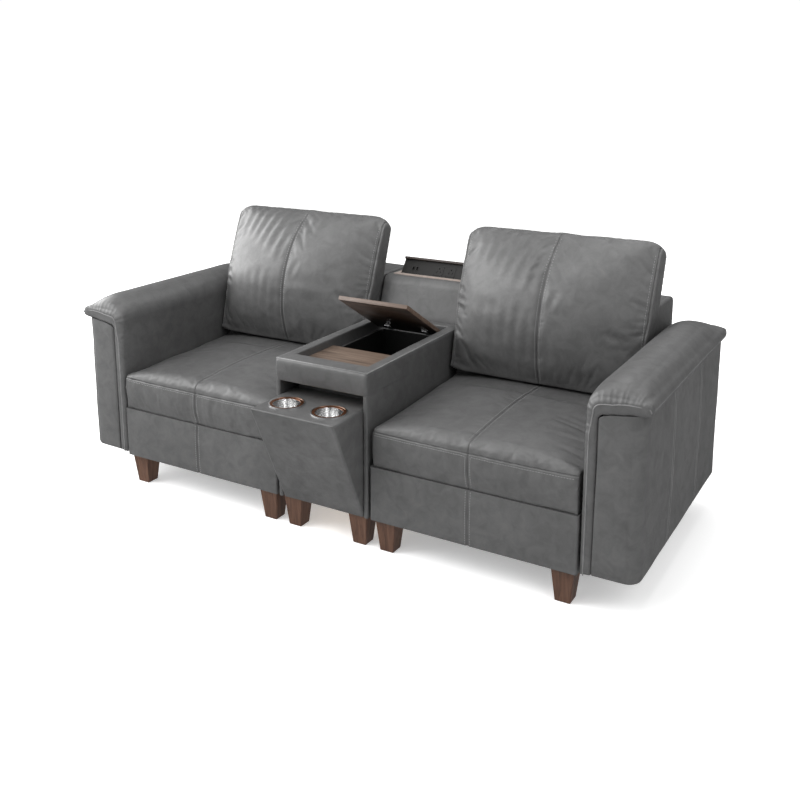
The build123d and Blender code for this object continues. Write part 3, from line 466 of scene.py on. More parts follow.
def move_points(piece, points):
    """Puts a piece's points where an array says."""
    piece.data.vertices.foreach_set("co", points.ravel())
    piece.data.update()


def settle(piece):
    """Keeps the shape that a piece's modifiers give it, and drops the modifiers."""
    mesh = shown_mesh(piece)
    piece.modifiers.clear()
    old = piece.data
    piece.data = mesh
    bpy.data.meshes.remove(old)
    mesh.polygons.foreach_set("use_smooth", [True] * len(mesh.polygons))


def solid_of(node):
    """A bmesh of a solid with its points joined."""
    bm = bmesh.new()
    bm.from_mesh(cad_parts[node].data)
    bmesh.ops.remove_doubles(bm, verts=bm.verts[:], dist=1e-5)
    bm.normal_update()
    return bm


def soft_copy(node, inset=0.0, free=lambda n: 0):
    """A cover in even small cells, drawn a little inside a cushion's solid where free lets it swell."""
    bm = solid_of(node)
    for v, normal in [(v, v.normal.copy()) for v in bm.verts]:
        v.co -= normal * inset * max(0, free(normal))
    piece = put_together(node + "_leather", bm, grey_leather)
    cells = piece.modifiers.new("cells", "REMESH")
    cells.mode = "VOXEL"
    cells.voxel_size = CUSHION_VOXEL
    settle(piece)
    points, _ = points_of(piece)
    ends = np.empty(len(piece.data.edges) * 2, dtype=np.int64)
    piece.data.edges.foreach_get("vertices", ends)
    ends = ends.reshape(-1, 2)
    neighbours = np.bincount(ends.ravel(), minlength=len(points))[:, None]
    for share in (0.5, -0.53) * 4:
        total = np.zeros_like(points)
        np.add.at(total, ends[:, 0], points[ends[:, 1]])
        np.add.at(total, ends[:, 1], points[ends[:, 0]])
        points += share * (total / neighbours - points)
    move_points(piece, points)
    return piece


def blow_up(piece, held, spare, limit):
    """Fills a cover with foam: cloth under pressure from inside, held where it is sewn or rests."""
    start, _ = points_of(piece)
    group = piece.vertex_groups.new(name="held")
    for index in np.nonzero(held > 0.01)[0]:
        group.add([int(index)], float(held[index]), "REPLACE")
    cover = piece.modifiers.new("cover", "CLOTH")
    cloth = cover.settings
    cloth.quality = 4
    cloth.mass = 0.4
    cloth.tension_stiffness = 12
    cloth.compression_stiffness = 12
    cloth.shear_stiffness = 5
    cloth.bending_stiffness = 1.2
    cloth.shrink_min = -spare
    cloth.use_pressure = True
    cloth.uniform_pressure_force = PRESSURE
    cloth.effector_weights.gravity = 0
    cloth.vertex_group_mass = "held"
    cover.collision_settings.use_collision = False
    cover.point_cache.frame_start = 1
    cover.point_cache.frame_end = CLOTH_FRAMES
    scene = bpy.context.scene
    for number in range(1, CLOTH_FRAMES + 1):
        scene.frame_set(number)
    shown = piece.evaluated_get(bpy.context.evaluated_depsgraph_get())
    moved = array_of(shown.data, "co") - start
    far = np.linalg.norm(moved, axis=1)
    moved *= np.minimum(1, limit / np.maximum(far, 1e-9))[:, None]
    piece.modifiers.clear()
    piece.vertex_groups.clear()
    scene.frame_set(1)
    move_points(piece, start + moved)


def finer(piece):
    """One round of subdivision, kept."""
    once = piece.modifiers.new("finer", "SUBSURF")
    once.levels = 1
    once.render_levels = 1
    settle(piece)


def clamp(values):
    """Values held between 0 and 1."""
    return np.clip(values, 0, 1)


def ridge(away, half):
    """1 on a line and 0 at half away from it, smoothly."""
    return clamp(1 - (away / half) ** 2) ** 2


def ripple(points, scale, seed):
    """Smooth noise from -1 to 1 at each point, scale giving its cells a metre along each axis."""
    place = points * np.asarray(scale) + seed
    cell = np.floor(place)
    share = place - cell
    share = share * share * (3 - 2 * share)
    total = np.zeros(len(points))
    for corner in np.ndindex(2, 2, 2):
        near = np.prod(np.where(corner, share, 1 - share), axis=1)
        code = np.sin((cell + corner) @ np.array((12.9898, 78.233, 37.719))) * 43758.5453
        total += near * (2 * (code - np.floor(code)) - 1)
    return total


def cut_seam(piece, axis, at):
    """Gives a cover points close beside a seam, so that the seam can be drawn in sharply."""
    bm = bmesh.new()
    bm.from_mesh(piece.data)
    for share in (-1, -0.5, 0, 0.5, 1):
        near = [f for f in bm.faces if abs(f.verts[0].co[axis] - at) < 0.02]
        around = {e for f in near for e in f.edges} | {v for f in near for v in f.verts}
        plane = plane_at(axis, at + share * SEAM)
        bmesh.ops.bisect_plane(bm, geom=near + list(around), dist=1e-5, **plane)
    bm.to_mesh(piece.data)
    bm.free()


for side in ("left", "right"):
    node = side + "_seat_cushion"
    low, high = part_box(node)
    join = (low[0] + high[0]) / 2
    seat = soft_copy(node, SEAT_INSET, lambda n: max(n.z, -n.y))
    points, normals = points_of(seat)
    rests = clamp((low[2] + 0.02 - points[:, 2]) / 0.012)
    at_rear = clamp((points[:, 1] - (high[1] - 0.16)) / 0.05)
    at_sides = clamp((np.abs(normals[:, 0]) - 0.5) * 4)
    front = (normals[:, 1] < -0.3) | (normals[:, 2] > 0.3)
    sewn = ridge(points[:, 2] - SEAT_SEAM_Z, HELD_NEAR) * (normals[:, 1] < -0.2)
    middle = ridge(points[:, 0] - join, HELD_NEAR) * front
    held = np.maximum.reduce([rests, at_rear, at_sides, sewn, middle * 0.9])
    blow_up(seat, held, SEAT_SPARE, SEAT_LIMIT)
    finer(seat)
    cut_seam(seat, 2, SEAT_SEAM_Z)
    cut_seam(seat, 0, join)
    points, normals = points_of(seat)
    forward = clamp(-normals[:, 1] * 1.6)
    upward = clamp(normals[:, 2] * 1.6)
    edge = ridge(points[:, 2] - SEAT_SEAM_Z, SEAM) * forward
    middle = ridge(points[:, 0] - join, SEAM) * clamp(forward + upward)
    near_edge = np.exp(-np.abs(points[:, 2] - SEAT_SEAM_Z) / 0.03) * forward
    gathers = ripple(points, (52, 4, 10), 3.0 if side == "left" else 9.0)
    soft = ripple(points, (7, 7, 7), 21.0 if side == "left" else 33.0)
    pull = np.exp(-np.abs(points[:, 0] - join) / 0.05) * upward * ripple(points, (10, 45, 10), 5.0)
    lift = GATHERS * gathers * near_edge + SEAT_WAVES * soft * upward + SEAT_PULL * pull
    if side == "left":
        span = clamp(1 - np.abs(points[:, 0] - join + 0.03) / 0.2)
        span *= forward * (points[:, 2] < SEAT_SEAM_Z)
        lift += BORDER_FOLDS * ripple(points, (60, 4, 6), 14.0) * span
    points += normals * (lift - SEAT_EDGE * edge - SEAT_JOIN * middle)[:, None]
    points[:, 2] -= SEAT_SINK * clamp((low[2] + 0.016 - points[:, 2]) / 0.016)
    move_points(seat, points)
    upholster(seat, node)
    cover = surface_of(seat)
    front, above, hem = low[1] - STITCH_REACH, high[2] + STITCH_REACH, SEAT_SEAM_Z - SEAT_HEM
    rows = [sewn_row(cover, (low[0] + 0.012, front, hem), (high[0] - 0.012, front, hem), (0, 1, 0))]
    rows += twin_rows(cover, (join, front, low[2] + 0.006), (join, front, hem), (0, 1, 0))
    rows += twin_rows(cover, (join, low[1] + 0.03, above), (join, high[1] - 0.03, above), (0, 0, -1))
    sew(side + "_seat_stitches", rows)


# Backrests. Padded leather over a ribbed wooden box: a sloping front, a rolled top edge, and a
# plain rear. They stand on the bases and carry the loose back cushions.
BACK_ROLL = 0.024
BACK_EDGE = 0.006
BACK_CELL = 0.035
BACK_CROWN = 0.003
BACK_UNEVEN = 0.0015
BACK_LEAN = math.radians(18.6)


def soften(bm, depth, seed, even=lambda at: False):
    """Small unevenness that leather shows over thin padding, except where it stays even."""
    bm.normal_update()
    for v, normal in [(v, v.normal.copy()) for v in bm.verts if not even(v.co)]:
        v.co += normal * depth * noise.noise(v.co * 9 + Vector((seed, seed, seed)))


for side in ("left", "right"):
    name = side + "_backrest_cover"
    low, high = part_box(name)
    deep_top = (high[1] - low[1]) - (high[2] - low[2]) * math.tan(BACK_LEAN)
    inner = (low[0], high[1] - deep_top, low[2])
    bm = block(inner, high)
    round_edges(bm, lambda a, b: min(a.z, b.z) > high[2] - TINY and abs(a.y - b.y) < TINY, BACK_ROLL, 6)
    round_edges(bm, lambda a, b: abs(a.x - b.x) < TINY and abs(a.x - (low[0] + high[0]) / 2) > 0.3
                and max(a.z, b.z) > low[2] + 0.01, BACK_EDGE, 3)
    cut_grid(bm, inner, high, BACK_CELL)
    swell(bm, inner, high, BACK_CROWN)
    soften(bm, BACK_UNEVEN, 2.0)
    for v in bm.verts:
        slope = (high[2] - v.co.z) * math.tan(BACK_LEAN)
        v.co.y -= slope * (high[1] - v.co.y) / deep_top
    cover = surface_of(board_cover(name, bm))
    above = high[2] + STITCH_REACH
    rows = [sewn_row(cover, (x, high[1] - deep_top + 0.03, above), (x, high[1] - 0.03, above), (0, 0, -1))
            for x in (low[0] + 0.011, high[0] - 0.011)]
    sew(side + "_backrest_stitches", rows)


# Back cushions. Loose feather-and-foam cushions in leather, with a side gusset, a join down the
# middle, and the creases that stuffing leaves. They lean on the backrests and stand on the seats.
PILLOW_INSET = 0.006
PILLOW_LIMIT = 0.012
PILLOW_SPARE = 0.012
PILLOW_SPREAD = 0.008
PILLOW_LUMPS = 0.0025
PILLOW_RUMPLE = 0.0012
PILLOW_JOIN = 0.0025
GUSSET_SEAM = 0.003
ARM_TOP = 0.58
GUSSET = 0.01
CREASE_WIDTH = 0.00125
CREASE_DEPTH = 0.0007
CREASES = (
    (-0.84, 0.94, -0.88, 0.76, 9, 1.6), (-0.70, 0.97, -0.76, 0.70, 10, 2.2),
    (-0.56, 0.98, -0.64, 0.70, 10, 2.9), (-0.43, 0.97, -0.54, 0.66, 11, 3.1),
    (-0.30, 0.97, -0.41, 0.62, 11, 3.3), (-0.18, 0.96, -0.28, 0.58, 12, 3.4),
    (-0.08, 0.93, -0.14, 0.55, 10, 2.6), (0.09, 0.95, 0.05, 0.70, 10, 2.0),
    (0.21, 0.96, 0.16, 0.76, 11, 1.7), (0.36, 0.97, 0.32, 0.80, 12, 1.4),
    (0.55, 0.97, 0.52, 0.84, 12, 1.1), (-0.64, 0.46, -0.62, 0.14, 13, 1.9),
    (-0.49, 0.50, -0.48, 0.10, 12, 2.3), (-0.35, 0.52, -0.37, 0.08, 12, 2.6),
    (-0.22, 0.50, -0.25, 0.06, 11, 2.4), (-0.11, 0.44, -0.13, 0.05, 10, 2.0),
    (0.16, 0.60, 0.08, 0.45, 9, 2.2), (0.08, 0.34, 0.13, 0.05, 11, 2.1),
    (0.23, 0.22, 0.29, 0.04, 12, 1.9), (0.42, 0.16, 0.46, 0.03, 12, 1.6),
    (-0.99, 0.56, -0.88, 0.51, 7, 2.8), (-0.99, 0.48, -0.86, 0.46, 7, 3.0),
    (-0.99, 0.42, -0.85, 0.38, 7, 2.4), (0.62, 0.39, 0.84, 0.33, 10, 3.2),
    (0.72, 0.30, 0.88, 0.29, 9, 1.9), (0.97, 0.44, 0.90, 0.37, 7, 2.0),
)


def crease(across, up, start, end, half):
    """A valley between two swollen lips along a line, fading towards both ends."""
    run = end - start
    share = clamp(((across - start[0]) * run[0] + (up - start[1]) * run[1]) / (run @ run))
    away = np.hypot(across - start[0] - share * run[0], up - start[1] - share * run[1]) / half
    return (0.6 * np.exp(-(away - 1.8) ** 2 / 0.8) - np.exp(-away * away)) * np.sin(np.pi * share) ** 0.8


for side in ("left", "right"):
    node = side + "_back_cushion"
    low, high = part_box(node)
    join = (low[0] + high[0]) / 2
    half = (high[0] - low[0]) / 2
    lean = Vector((0, -math.cos(BACK_LEAN), math.sin(BACK_LEAN)))
    rise = np.array((0, math.sin(BACK_LEAN), math.cos(BACK_LEAN)))
    pillow = soft_copy(node, PILLOW_INSET, lambda n: n.dot(lean))
    points, normals = points_of(pillow)
    out = normals @ np.array(lean)
    behind = clamp(-out * 1.5)
    beneath = clamp((low[2] + 0.03 - points[:, 2]) / 0.015)
    middle = ridge(points[:, 0] - join, HELD_NEAR) * (out > 0.2)
    sides = clamp((np.abs(points[:, 0] - join) - (half - GUSSET - 0.004)) / 0.004)
    held = np.maximum.reduce([behind, beneath, middle * 0.85, sides])
    blow_up(pillow, held, PILLOW_SPARE, PILLOW_LIMIT)
    finer(pillow)
    for x in (join, join - half + GUSSET, join + half - GUSSET):
        cut_seam(pillow, 0, x)
    points, normals = points_of(pillow)
    out = clamp(normals @ np.array(lean) * 1.6)
    across = points[:, 0] - join
    up = points @ rise
    tall = up.max() - up.min()
    up -= up.min()
    seed = 40.0 if side == "left" else 60.0
    middle = ridge(across, SEAM) * out
    gusset = ridge(np.abs(across) - (half - GUSSET), SEAM) * clamp(out * 4)
    lift = PILLOW_LUMPS * ripple(points, (7, 7, 7), seed)
    lift += PILLOW_RUMPLE * ripple(points, (16, 16, 30), seed + 7)
    for a0, b0, a1, b1, wide, deep in CREASES:
        shift = 0.02 * ripple(np.array([[a0 * 9, b0 * 9, seed]]), (1, 1, 1), seed)[0]
        start = np.array((a0 * half, (b0 + shift) * tall))
        end = np.array((a1 * half, (b1 + shift) * tall))
        lift += CREASE_DEPTH * deep * crease(across, up, start, end, CREASE_WIDTH * wide)
    points += normals * (lift * out - PILLOW_JOIN * middle - GUSSET_SEAM * gusset)[:, None]
    above_arms = clamp((points[:, 2] - ARM_TOP) / 0.08)
    points[:, 0] += PILLOW_SPREAD * above_arms * (across / half) ** 3
    move_points(pillow, points)
    upholster(pillow, node)
    cover = surface_of(pillow)
    front = low[1] - STITCH_REACH
    rows = twin_rows(cover, (join, front, low[2] + 0.02), (join, front, high[2] - 0.014), (0, 1, 0))
    for x in (low[0] + GUSSET + 0.003, high[0] - GUSSET - 0.003):
        rows.append(sewn_row(cover, (x, front, low[2] + 0.05), (x, front, high[2] - 0.04), (0, 1, 0)))
    sew(side + "_pillow_stitches", rows)


# Arm panels. A flat padded slab outside each arm, rounded round its outer edge, with two sewn
# joins down its outer face. It hangs on the wooden arm frame below the pad's lip.
ARM_ROUND = 0.04
ARM_REAR_ROUND = 0.016
ARM_FOOT = 0.014
ARM_EDGE = 0.009
ARM_CELL = 0.035
ARM_CROWN = 0.004
ARM_UNEVEN = 0.0015
ARM_JOINS = (0.27, 0.565)
ARM_JOIN_DEPTH = 0.001
ARM_SLOPE = 0.017
for side, way in (("left", -1), ("right", 1)):
    name = side + "_arm_panel"
    low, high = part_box(name)
    inner, outer = (low[0], high[0]) if way > 0 else (high[0], low[0])
    bm = block(low, high)
    for y, radius in ((low[1], ARM_ROUND), (high[1], ARM_REAR_ROUND)):
        round_edges(bm, lambda a, b: abs(a.x - outer) + abs(b.x - outer) + abs(a.y - y) + abs(b.y - y) < TINY,
                    radius, 8)
    round_edges(bm, lambda a, b: max(a.z, b.z) < low[2] + TINY
                and abs(a.x - inner) + abs(b.x - inner) > TINY, ARM_FOOT, 4)
    round_edges(bm, lambda a, b: abs(a.x - inner) + abs(b.x - inner) + abs(a.y - b.y) < TINY, ARM_EDGE, 4)
    cut_grid(bm, low, high, ARM_CELL)
    swell(bm, low, high, ARM_CROWN)
    soften(bm, ARM_UNEVEN, 5.0)
    joins = [low[1] + along for along in ARM_JOINS]
    for at in joins:
        sewn_join(bm, 1, at, ARM_JOIN_DEPTH, lambda n: n.x * way > 0.5)
    for v in bm.verts:
        share = (v.co.x - inner) / (outer - inner)
        drop = ARM_SLOPE * (1 - share) + max(0, 0.1 - share) * 0.11
        v.co.z -= drop * (v.co.z - low[2]) / (high[2] - low[2])
    cover = surface_of(board_cover(name, bm))
    beyond = outer + way * STITCH_REACH
    rows = []
    for at in joins:
        rows += twin_rows(cover, (beyond, at, low[2] + 0.012), (beyond, at, high[2] - 0.004), (-way, 0, 0), 1)
    sew(side + "_arm_stitches", rows)


# Arm pads. Thick foam under leather that lies over the top of the arm and down its inner side,
# gathered onto a welted front border, and ending outside in a rolled lip.
WELT_R = 0.0019
ROLL_SIDE = 0.013
ROLL_TOP = 0.022
FOLD_DEPTH = 0.0011
NOSE_FULL = 0.003
NOSE_RISE = 0.006
ROLL_FADE = 0.11
ROLL_LEAST = 0.12
FRONT_DEPTH = 0.07
PAD_WAVES = 0.0014
LIP_STEPS = 60
LIP_END = 0.012
# The cords' leather is about twice as light as the covers': a painted highlight, standing in for the sheen
# that runs along each round cord.
piping_leather_painted_highlight = leather("piping_leather_painted_highlight", 0.13)


def tube(name, points, radius):
    """A leather-covered cord sewn along an edge of the sofa, in a lighter leather whose tone is a painted
    highlight along the cord.
    """
    curve = bpy.data.curves.new(name, "CURVE")
    curve.dimensions = "3D"
    curve.bevel_depth = radius
    curve.bevel_resolution = 2
    curve.use_fill_caps = True
    line = curve.splines.new("POLY")
    line.points.add(len(points) - 1)
    for point, place in zip(line.points, points):
        point.co = (*place, 1)
    shape = bpy.data.objects.new(name + "_line", curve)
    bpy.context.scene.collection.objects.link(shape)
    mesh = shown_mesh(shape)
    bpy.data.objects.remove(shape)
    bpy.data.curves.remove(curve)
    bm = bmesh.new()
    bm.from_mesh(mesh)
    bpy.data.meshes.remove(mesh)
    piece = put_together(name, bm, piping_leather_painted_highlight)
    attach(piece, "sofa")


def front_outline(node, inner, way):
    """The edge of a pad's front face every few millimetres, from the foot of its inner side to its lip."""
    bm = solid_of(node)
    foremost = min(v.co.y for v in bm.verts)
    facing = [f for f in bm.faces if f.normal.y < -0.99 and f.calc_center_median().y < foremost + 1e-4]
    face = bmesh.ops.dissolve_faces(bm, faces=facing)["region"][0]
    loop = [(v.co.x, v.co.z) for v in face.verts]
    bm.free()
    first = min(range(len(loop)), key=lambda i: abs(loop[i][0] - inner) + loop[i][1])
    loop = loop[first:] + loop[:first]
    if loop[1][1] < loop[-1][1]:
        loop = loop[:1] + loop[:0:-1]
    last = max(range(len(loop)), key=lambda i: loop[i][0] * way)
    loop = np.array(loop[:last + 1])
    walked = np.concatenate(([0], np.cumsum(np.hypot(*np.diff(loop, axis=0).T))))
    steps = np.linspace(0, walked[-1], round(walked[-1] / 0.004))
    return np.stack([np.interp(steps, walked, loop[:, i]) for i in (0, 1)], axis=1), steps


def roll_of(z, to_lip):
    """How far the leather rolls over a pad's front edge, at a height and so far from the lip's end."""
    full = ROLL_SIDE + (ROLL_TOP - ROLL_SIDE) * clamp((z - 0.5) / 0.06)
    return full * np.clip(to_lip / ROLL_FADE, ROLL_LEAST, 1)


for side, way in (("left", -1), ("right", 1)):
    node = side + "_arm_pad"
    low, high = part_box(node)
    inner, outer = (low[0], high[0]) if way > 0 else (high[0], low[0])
    pad = soft_copy(node)
    finer(pad)
    points, normals = points_of(pad)
    outline, steps = front_outline(node, inner, way)
    inwards = np.gradient(outline, axis=0)[:, ::-1] * np.array((way, -way))
    inwards /= np.linalg.norm(inwards, axis=1)[:, None]
    deep = points[:, 1] - low[1]
    near = np.nonzero(deep < FRONT_DEPTH)[0]
    away = points[near][:, None, (0, 2)] - outline[None]
    closest = np.argmin((away ** 2).sum(axis=2), axis=1)
    away = away[np.arange(len(near)), closest]
    within = (away * inwards[closest]).sum(axis=1)
    along = steps[closest] + (away * inwards[closest][:, ::-1] * (-way, way)).sum(axis=1)
    roll = roll_of(outline[closest, 1], steps[-1] - along)
    depth = deep[near]
    turned = (within < roll) & (depth < roll)
    turn = (roll - np.clip(within, 0, roll) + np.clip(depth, 0, roll)) / roll * math.pi / 4
    push = np.where(turned, roll * (1 - np.sin(turn)) + np.minimum(within, 0) - within, 0)
    points[near, 0] += inwards[closest, 0] * push
    points[near, 2] += inwards[closest, 1] * push
    points[near, 1] = np.where(turned, low[1] + roll * (1 - np.cos(turn)), points[near, 1])
    move_points(pad, points)
    points, normals = points_of(pad)
    folds = ripple(np.stack([along, depth, along * 0], axis=1), (210, 9, 1), 80.0)
    folds *= np.exp(-(np.maximum(points[near, 1] - low[1], 0) / 0.03) ** 2) * (within < roll)
    folds *= np.clip((points[near, 2] - 0.3) / 0.22, 0.25, 1) * clamp((steps[-1] - along) / 0.02)
    upward = clamp(normals[:, 2] * 1.6)
    inside = clamp(-normals[:, 0] * way * 1.6)
    lift = PAD_WAVES * ripple(points, (6, 6, 6), 85.0) * np.maximum(upward, inside)
    lift[near] += FOLD_DEPTH * folds
    at_nose = clamp((way * (points[:, 0] - outer) + 0.05) / 0.04)
    points += normals * (lift + NOSE_FULL * at_nose)[:, None]
    points[:, 2] += NOSE_RISE * at_nose * clamp(normals[:, 2] + 0.4)
    move_points(pad, points)
    upholster(pad, node)
    seam = outline + inwards * roll_of(outline[:, 1], steps[-1] - steps)[:, None]
    tube(side + "_arm_welt", [(x, low[1] + 0.0002, z) for x, z in seam], WELT_R)
    lip = []
    for y in np.linspace(low[1] + LIP_END, high[1] - LIP_END, LIP_STEPS):
        strip = points[np.abs(points[:, 1] - y) < LIP_END]
        tip = strip[way * strip[:, 0] > (way * strip[:, 0]).max() - 0.002]
        lip.append((tip[:, 0].mean(), y, tip[:, 2].mean()))
    lip = np.array(lip)
    lip[1:-1] = (lip[:-2] + lip[1:-1] + lip[2:]) / 3
    tube(side + "_arm_lip_welt", lip.tolist(), WELT_R * 0.8)


# Console carcass. Leather-covered boards at both sides with a plain rear board between them, and a
# black bushed hole at the rear for the power unit's lead.
moulded_black = patterned("moulded_black", (700, 2, 0.5), [0.003] * 3, [0.007] * 3,
                          {"Specular IOR Level": 0.25}, (0.55, 0.7), (0.0003, 0.25))
dress(moulded_black, "cable_grommet", "storage_bin", "power_well")

BOARD_EDGE = 0.005
BOARD_CELL = 0.05
DRILL_DEPTH = 0.05
BUSH_FIT = 0.0002


def cut_out(piece, middle, axis, radius):
    """Bores a round hole through a piece."""
    bm = bmesh.new()
    turn = Vector((0, 0, 1)).rotation_difference(Vector(axis))
    bmesh.ops.create_cone(bm, cap_ends=True, segments=64, radius1=radius, radius2=radius,
                          depth=DRILL_DEPTH, matrix=Matrix.LocRotScale(middle, turn, None))
    drill = put_together("drill", bm, grey_leather)
    bore = piece.modifiers.new("bore", "BOOLEAN")
    bore.operation = "DIFFERENCE"
    bore.object = drill
    settle(piece)
    bpy.data.objects.remove(drill)


for side in ("left", "right"):
    name = f"console_{side}_side"
    low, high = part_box(name)
    bm = block(low, high)
    round_edges(bm, lambda a, b: max(a.y, b.y) < low[1] + TINY and abs(a.z - b.z) > 0.1, BOARD_EDGE)
    cut_grid(bm, low, high, BOARD_CELL)
    board_cover(name, bm)

low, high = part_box("console_rear_panel")
rear = put_together("console_rear_leather", block(low, high), grey_leather)
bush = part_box("cable_grommet")
middle = [(a + b) / 2 for a, b in zip(*bush)]
cut_out(rear, middle, (0, 1, 0), (bush[1][0] - bush[0][0]) / 2 - BUSH_FIT)
keep_faces_flat(rear)
upholster(rear, "console_rear_panel")


# Console rim. A padded box of leather-covered boards round the tray, with piped top edges and a
# ledge inside it for the tray board and the lid.
RIM_EDGE = 0.01
RIM_MOUTH = 0.005
RIM_FULL = 0.006
RIM_LEDGE = 0.01
RIM_SIDE = 0.035
RIM_FRONT = 0.06
RIM_REAR = 0.028
RIM_CELL = 0.016
RIM_UNEVEN = 0.0012
PIPING_R = 0.0021


def faces_within(bm, low, high):
    """The faces whose middles lie inside a box."""
    return [f for f in bm.faces if all(a < m < b for a, m, b in zip(low, f.calc_center_median(), high))]


ledge_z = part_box("tray_board")[0][2]
low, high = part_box("console_rim")
well_x = high[0] - RIM_SIDE
well_y = (low[1] + RIM_FRONT, high[1] - RIM_REAR)
bm = block(low, high)
round_edges(bm, lambda a, b: abs(a.z - b.z) > 0.01 and max(a.y, b.y) < low[1] + TINY, RIM_EDGE)
round_edges(bm, lambda a, b: min(a.z, b.z) > high[2] - TINY and min(a.y, b.y) < high[1] - 0.01, RIM_EDGE)
cut_at(bm, 0, (-well_x, well_x))
cut_at(bm, 1, well_y)
floor_of_well = faces_within(bm, (-well_x, well_y[0], high[2] - TINY), (well_x, well_y[1], high[2] + 1))
sunk = bmesh.ops.extrude_face_region(bm, geom=floor_of_well)["geom"]
bmesh.ops.delete(bm, geom=floor_of_well, context="FACES_ONLY")
sunk_points = [v for v in sunk if isinstance(v, bmesh.types.BMVert)]
bmesh.ops.translate(bm, vec=(0, 0, ledge_z - high[2]), verts=sunk_points)
bottom = [f for f in sunk if isinstance(f, bmesh.types.BMFace)]
bmesh.ops.inset_region(bm, faces=bottom, thickness=RIM_LEDGE, use_even_offset=True)
bmesh.ops.delete(bm, geom=bottom, context="FACES")
under = faces_within(bm, (-well_x, well_y[0], low[2] - 1), (well_x, well_y[1], low[2] + TINY))
bmesh.ops.delete(bm, geom=under, context="FACES_ONLY")
round_edges(bm, lambda a, b: min(a.z, b.z) > high[2] - TINY and max(abs(a.x), abs(b.x)) < well_x + 1e-5
            and min(a.y, b.y) > well_y[0] - 1e-5 and max(a.y, b.y) < well_y[1] + 1e-5, RIM_MOUTH, 3)
cut_grid(bm, low, high, RIM_CELL)
soften(bm, RIM_UNEVEN, 23.0, lambda at: abs(at.x) < well_x + 0.002
       and well_y[0] - 0.002 < at.y < well_y[1] + 0.002)
for v in bm.verts:
    if v.co.y < low[1] + 0.02:
        v.co.y -= RIM_FULL * (1 - (2 * (v.co.z - low[2]) / (high[2] - low[2]) - 1) ** 2)
board_cover("console_rim", bm)
set_in = RIM_EDGE * 0.3
edge_x, front_y, rear_y = high[0] - set_in, low[1] + set_in, high[1] - 0.004
plan = ((-edge_x, rear_y), (-edge_x, front_y), (edge_x, front_y), (edge_x, rear_y))
tube("console_rim_piping", [(x, y, high[2] - set_in) for x, y in plan], PIPING_R)


# Tray board and storage lid. Walnut veneered board with a clear satin lacquer and brown edges; the
# tray is fixed on the ledge, and the lid lifts on two steel hinges over the black bin.
tray_walnut = walnut("tray_walnut", 0, (0.034, 0.022, 0.015), (0.1, 0.069, 0.05), (0.155, 0.114, 0.086))
# The lid's walnut is a much darker copy of the tray's walnut: painted shade on the open lid's face, which
# tips down and away from the light. The power unit's flap takes the same darkened walnut.
lid_walnut_painted_shade = walnut("lid_walnut_painted_shade", 0, (0.009, 0.005, 0.003), (0.024, 0.0135, 0.0085), (0.042, 0.024, 0.0155))
edge_walnut = walnut("edge_walnut", 0, (0.06, 0.038, 0.026), (0.105, 0.069, 0.05), (0.15, 0.104, 0.078))
LID_HALF = 0.1275
LID_LENGTH = 0.292
LID_THICK = 0.0135
LID_REAR_GAP = 0.017
HINGE_BACK = 0.011
HINGE_RISE = 0.014
LID_OPEN = math.radians(31)
BAND = 0.0009
BOARD_EASE = 0.001
BAND_EASE = 0.0003


def ease_edges(piece, width):
    """Takes the sharpness off a board's edges."""
    ease = piece.modifiers.new("ease", "BEVEL")
    ease.width = width
    ease.segments = 2


tray = put_together("tray_walnut_board", block(*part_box("tray_board")), tray_walnut)
ease_edges(tray, BOARD_EASE)
keep_faces_flat(tray)
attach(tray, "sofa")
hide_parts("tray_board")

wood_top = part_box("tray_board")[1][2]
lid_rear = well_y[1] - LID_REAR_GAP
hinge_line = Vector((0, lid_rear + HINGE_BACK, wood_top + HINGE_RISE))
opened = Matrix.Rotation(-LID_OPEN, 3, "X")
low, high = (-LID_HALF, lid_rear - LID_LENGTH, wood_top - LID_THICK), (LID_HALF, lid_rear, wood_top)
bm = block([a + BAND for a in low[:2]] + [low[2]], [b - BAND for b in high[:2]] + [high[2]])
bmesh.ops.rotate(bm, cent=hinge_line, matrix=opened, verts=bm.verts[:])
lid = put_together("storage_lid_board", bm, lid_walnut_painted_shade)
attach(lid, "lid")
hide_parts("storage_lid")
bm = block(low, high)
flats = [f for f in bm.faces if abs(f.normal.z) > 0.9]
bmesh.ops.delete(bm, geom=flats, context="FACES_ONLY")
thicken(bm, BAND)
bmesh.ops.rotate(bm, cent=hinge_line, matrix=opened, verts=bm.verts[:])
band = put_together("storage_lid_edge", bm, edge_walnut)
ease_edges(band, BAND_EASE)
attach(band, "lid")


# Cup drawer. A wedge of boards that tips forward on pins at its foot, wrapped in one skin of
# leather over its front, its cheeks and the level top in which the cups hang.
DRAWER_HALF = 0.147
DRAWER_FOOT = 0.105
DRAWER_TOP = 0.478
DRAWER_BOARD = 0.012
DRAWER_EDGE = 0.008
DRAWER_CELL = 0.03
DRAWER_UNEVEN = 0.0006
DRAWER_TILT = math.radians(25)
PIVOT_IN = 0.012
PIVOT_Z = 0.111
HEEL_IN = 0.03
HEEL_RISE = 0.022
CUP_HOLE = 0.0445
STOP_LIP = 0.012
STOP_RISE = 0.025
face_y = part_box("console_right_side")[0][1]
pivot = Vector((0, face_y + PIVOT_IN, PIVOT_Z))
tipped = Matrix.Rotation(DRAWER_TILT, 3, "X")
top_low, top_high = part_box("drawer_top")
level = top_high[2] - STOP_RISE
ahead, above = top_high[1] - pivot.y, level - pivot.z
rear = (pivot.y + ahead * math.cos(DRAWER_TILT) + above * math.sin(DRAWER_TILT),
        pivot.z - ahead * math.sin(DRAWER_TILT) + above * math.cos(DRAWER_TILT))
heel = face_y + HEEL_IN
shape = [(face_y, DRAWER_FOOT), (face_y, DRAWER_TOP), rear,
         (heel, DRAWER_FOOT + HEEL_RISE), (heel, DRAWER_FOOT)]
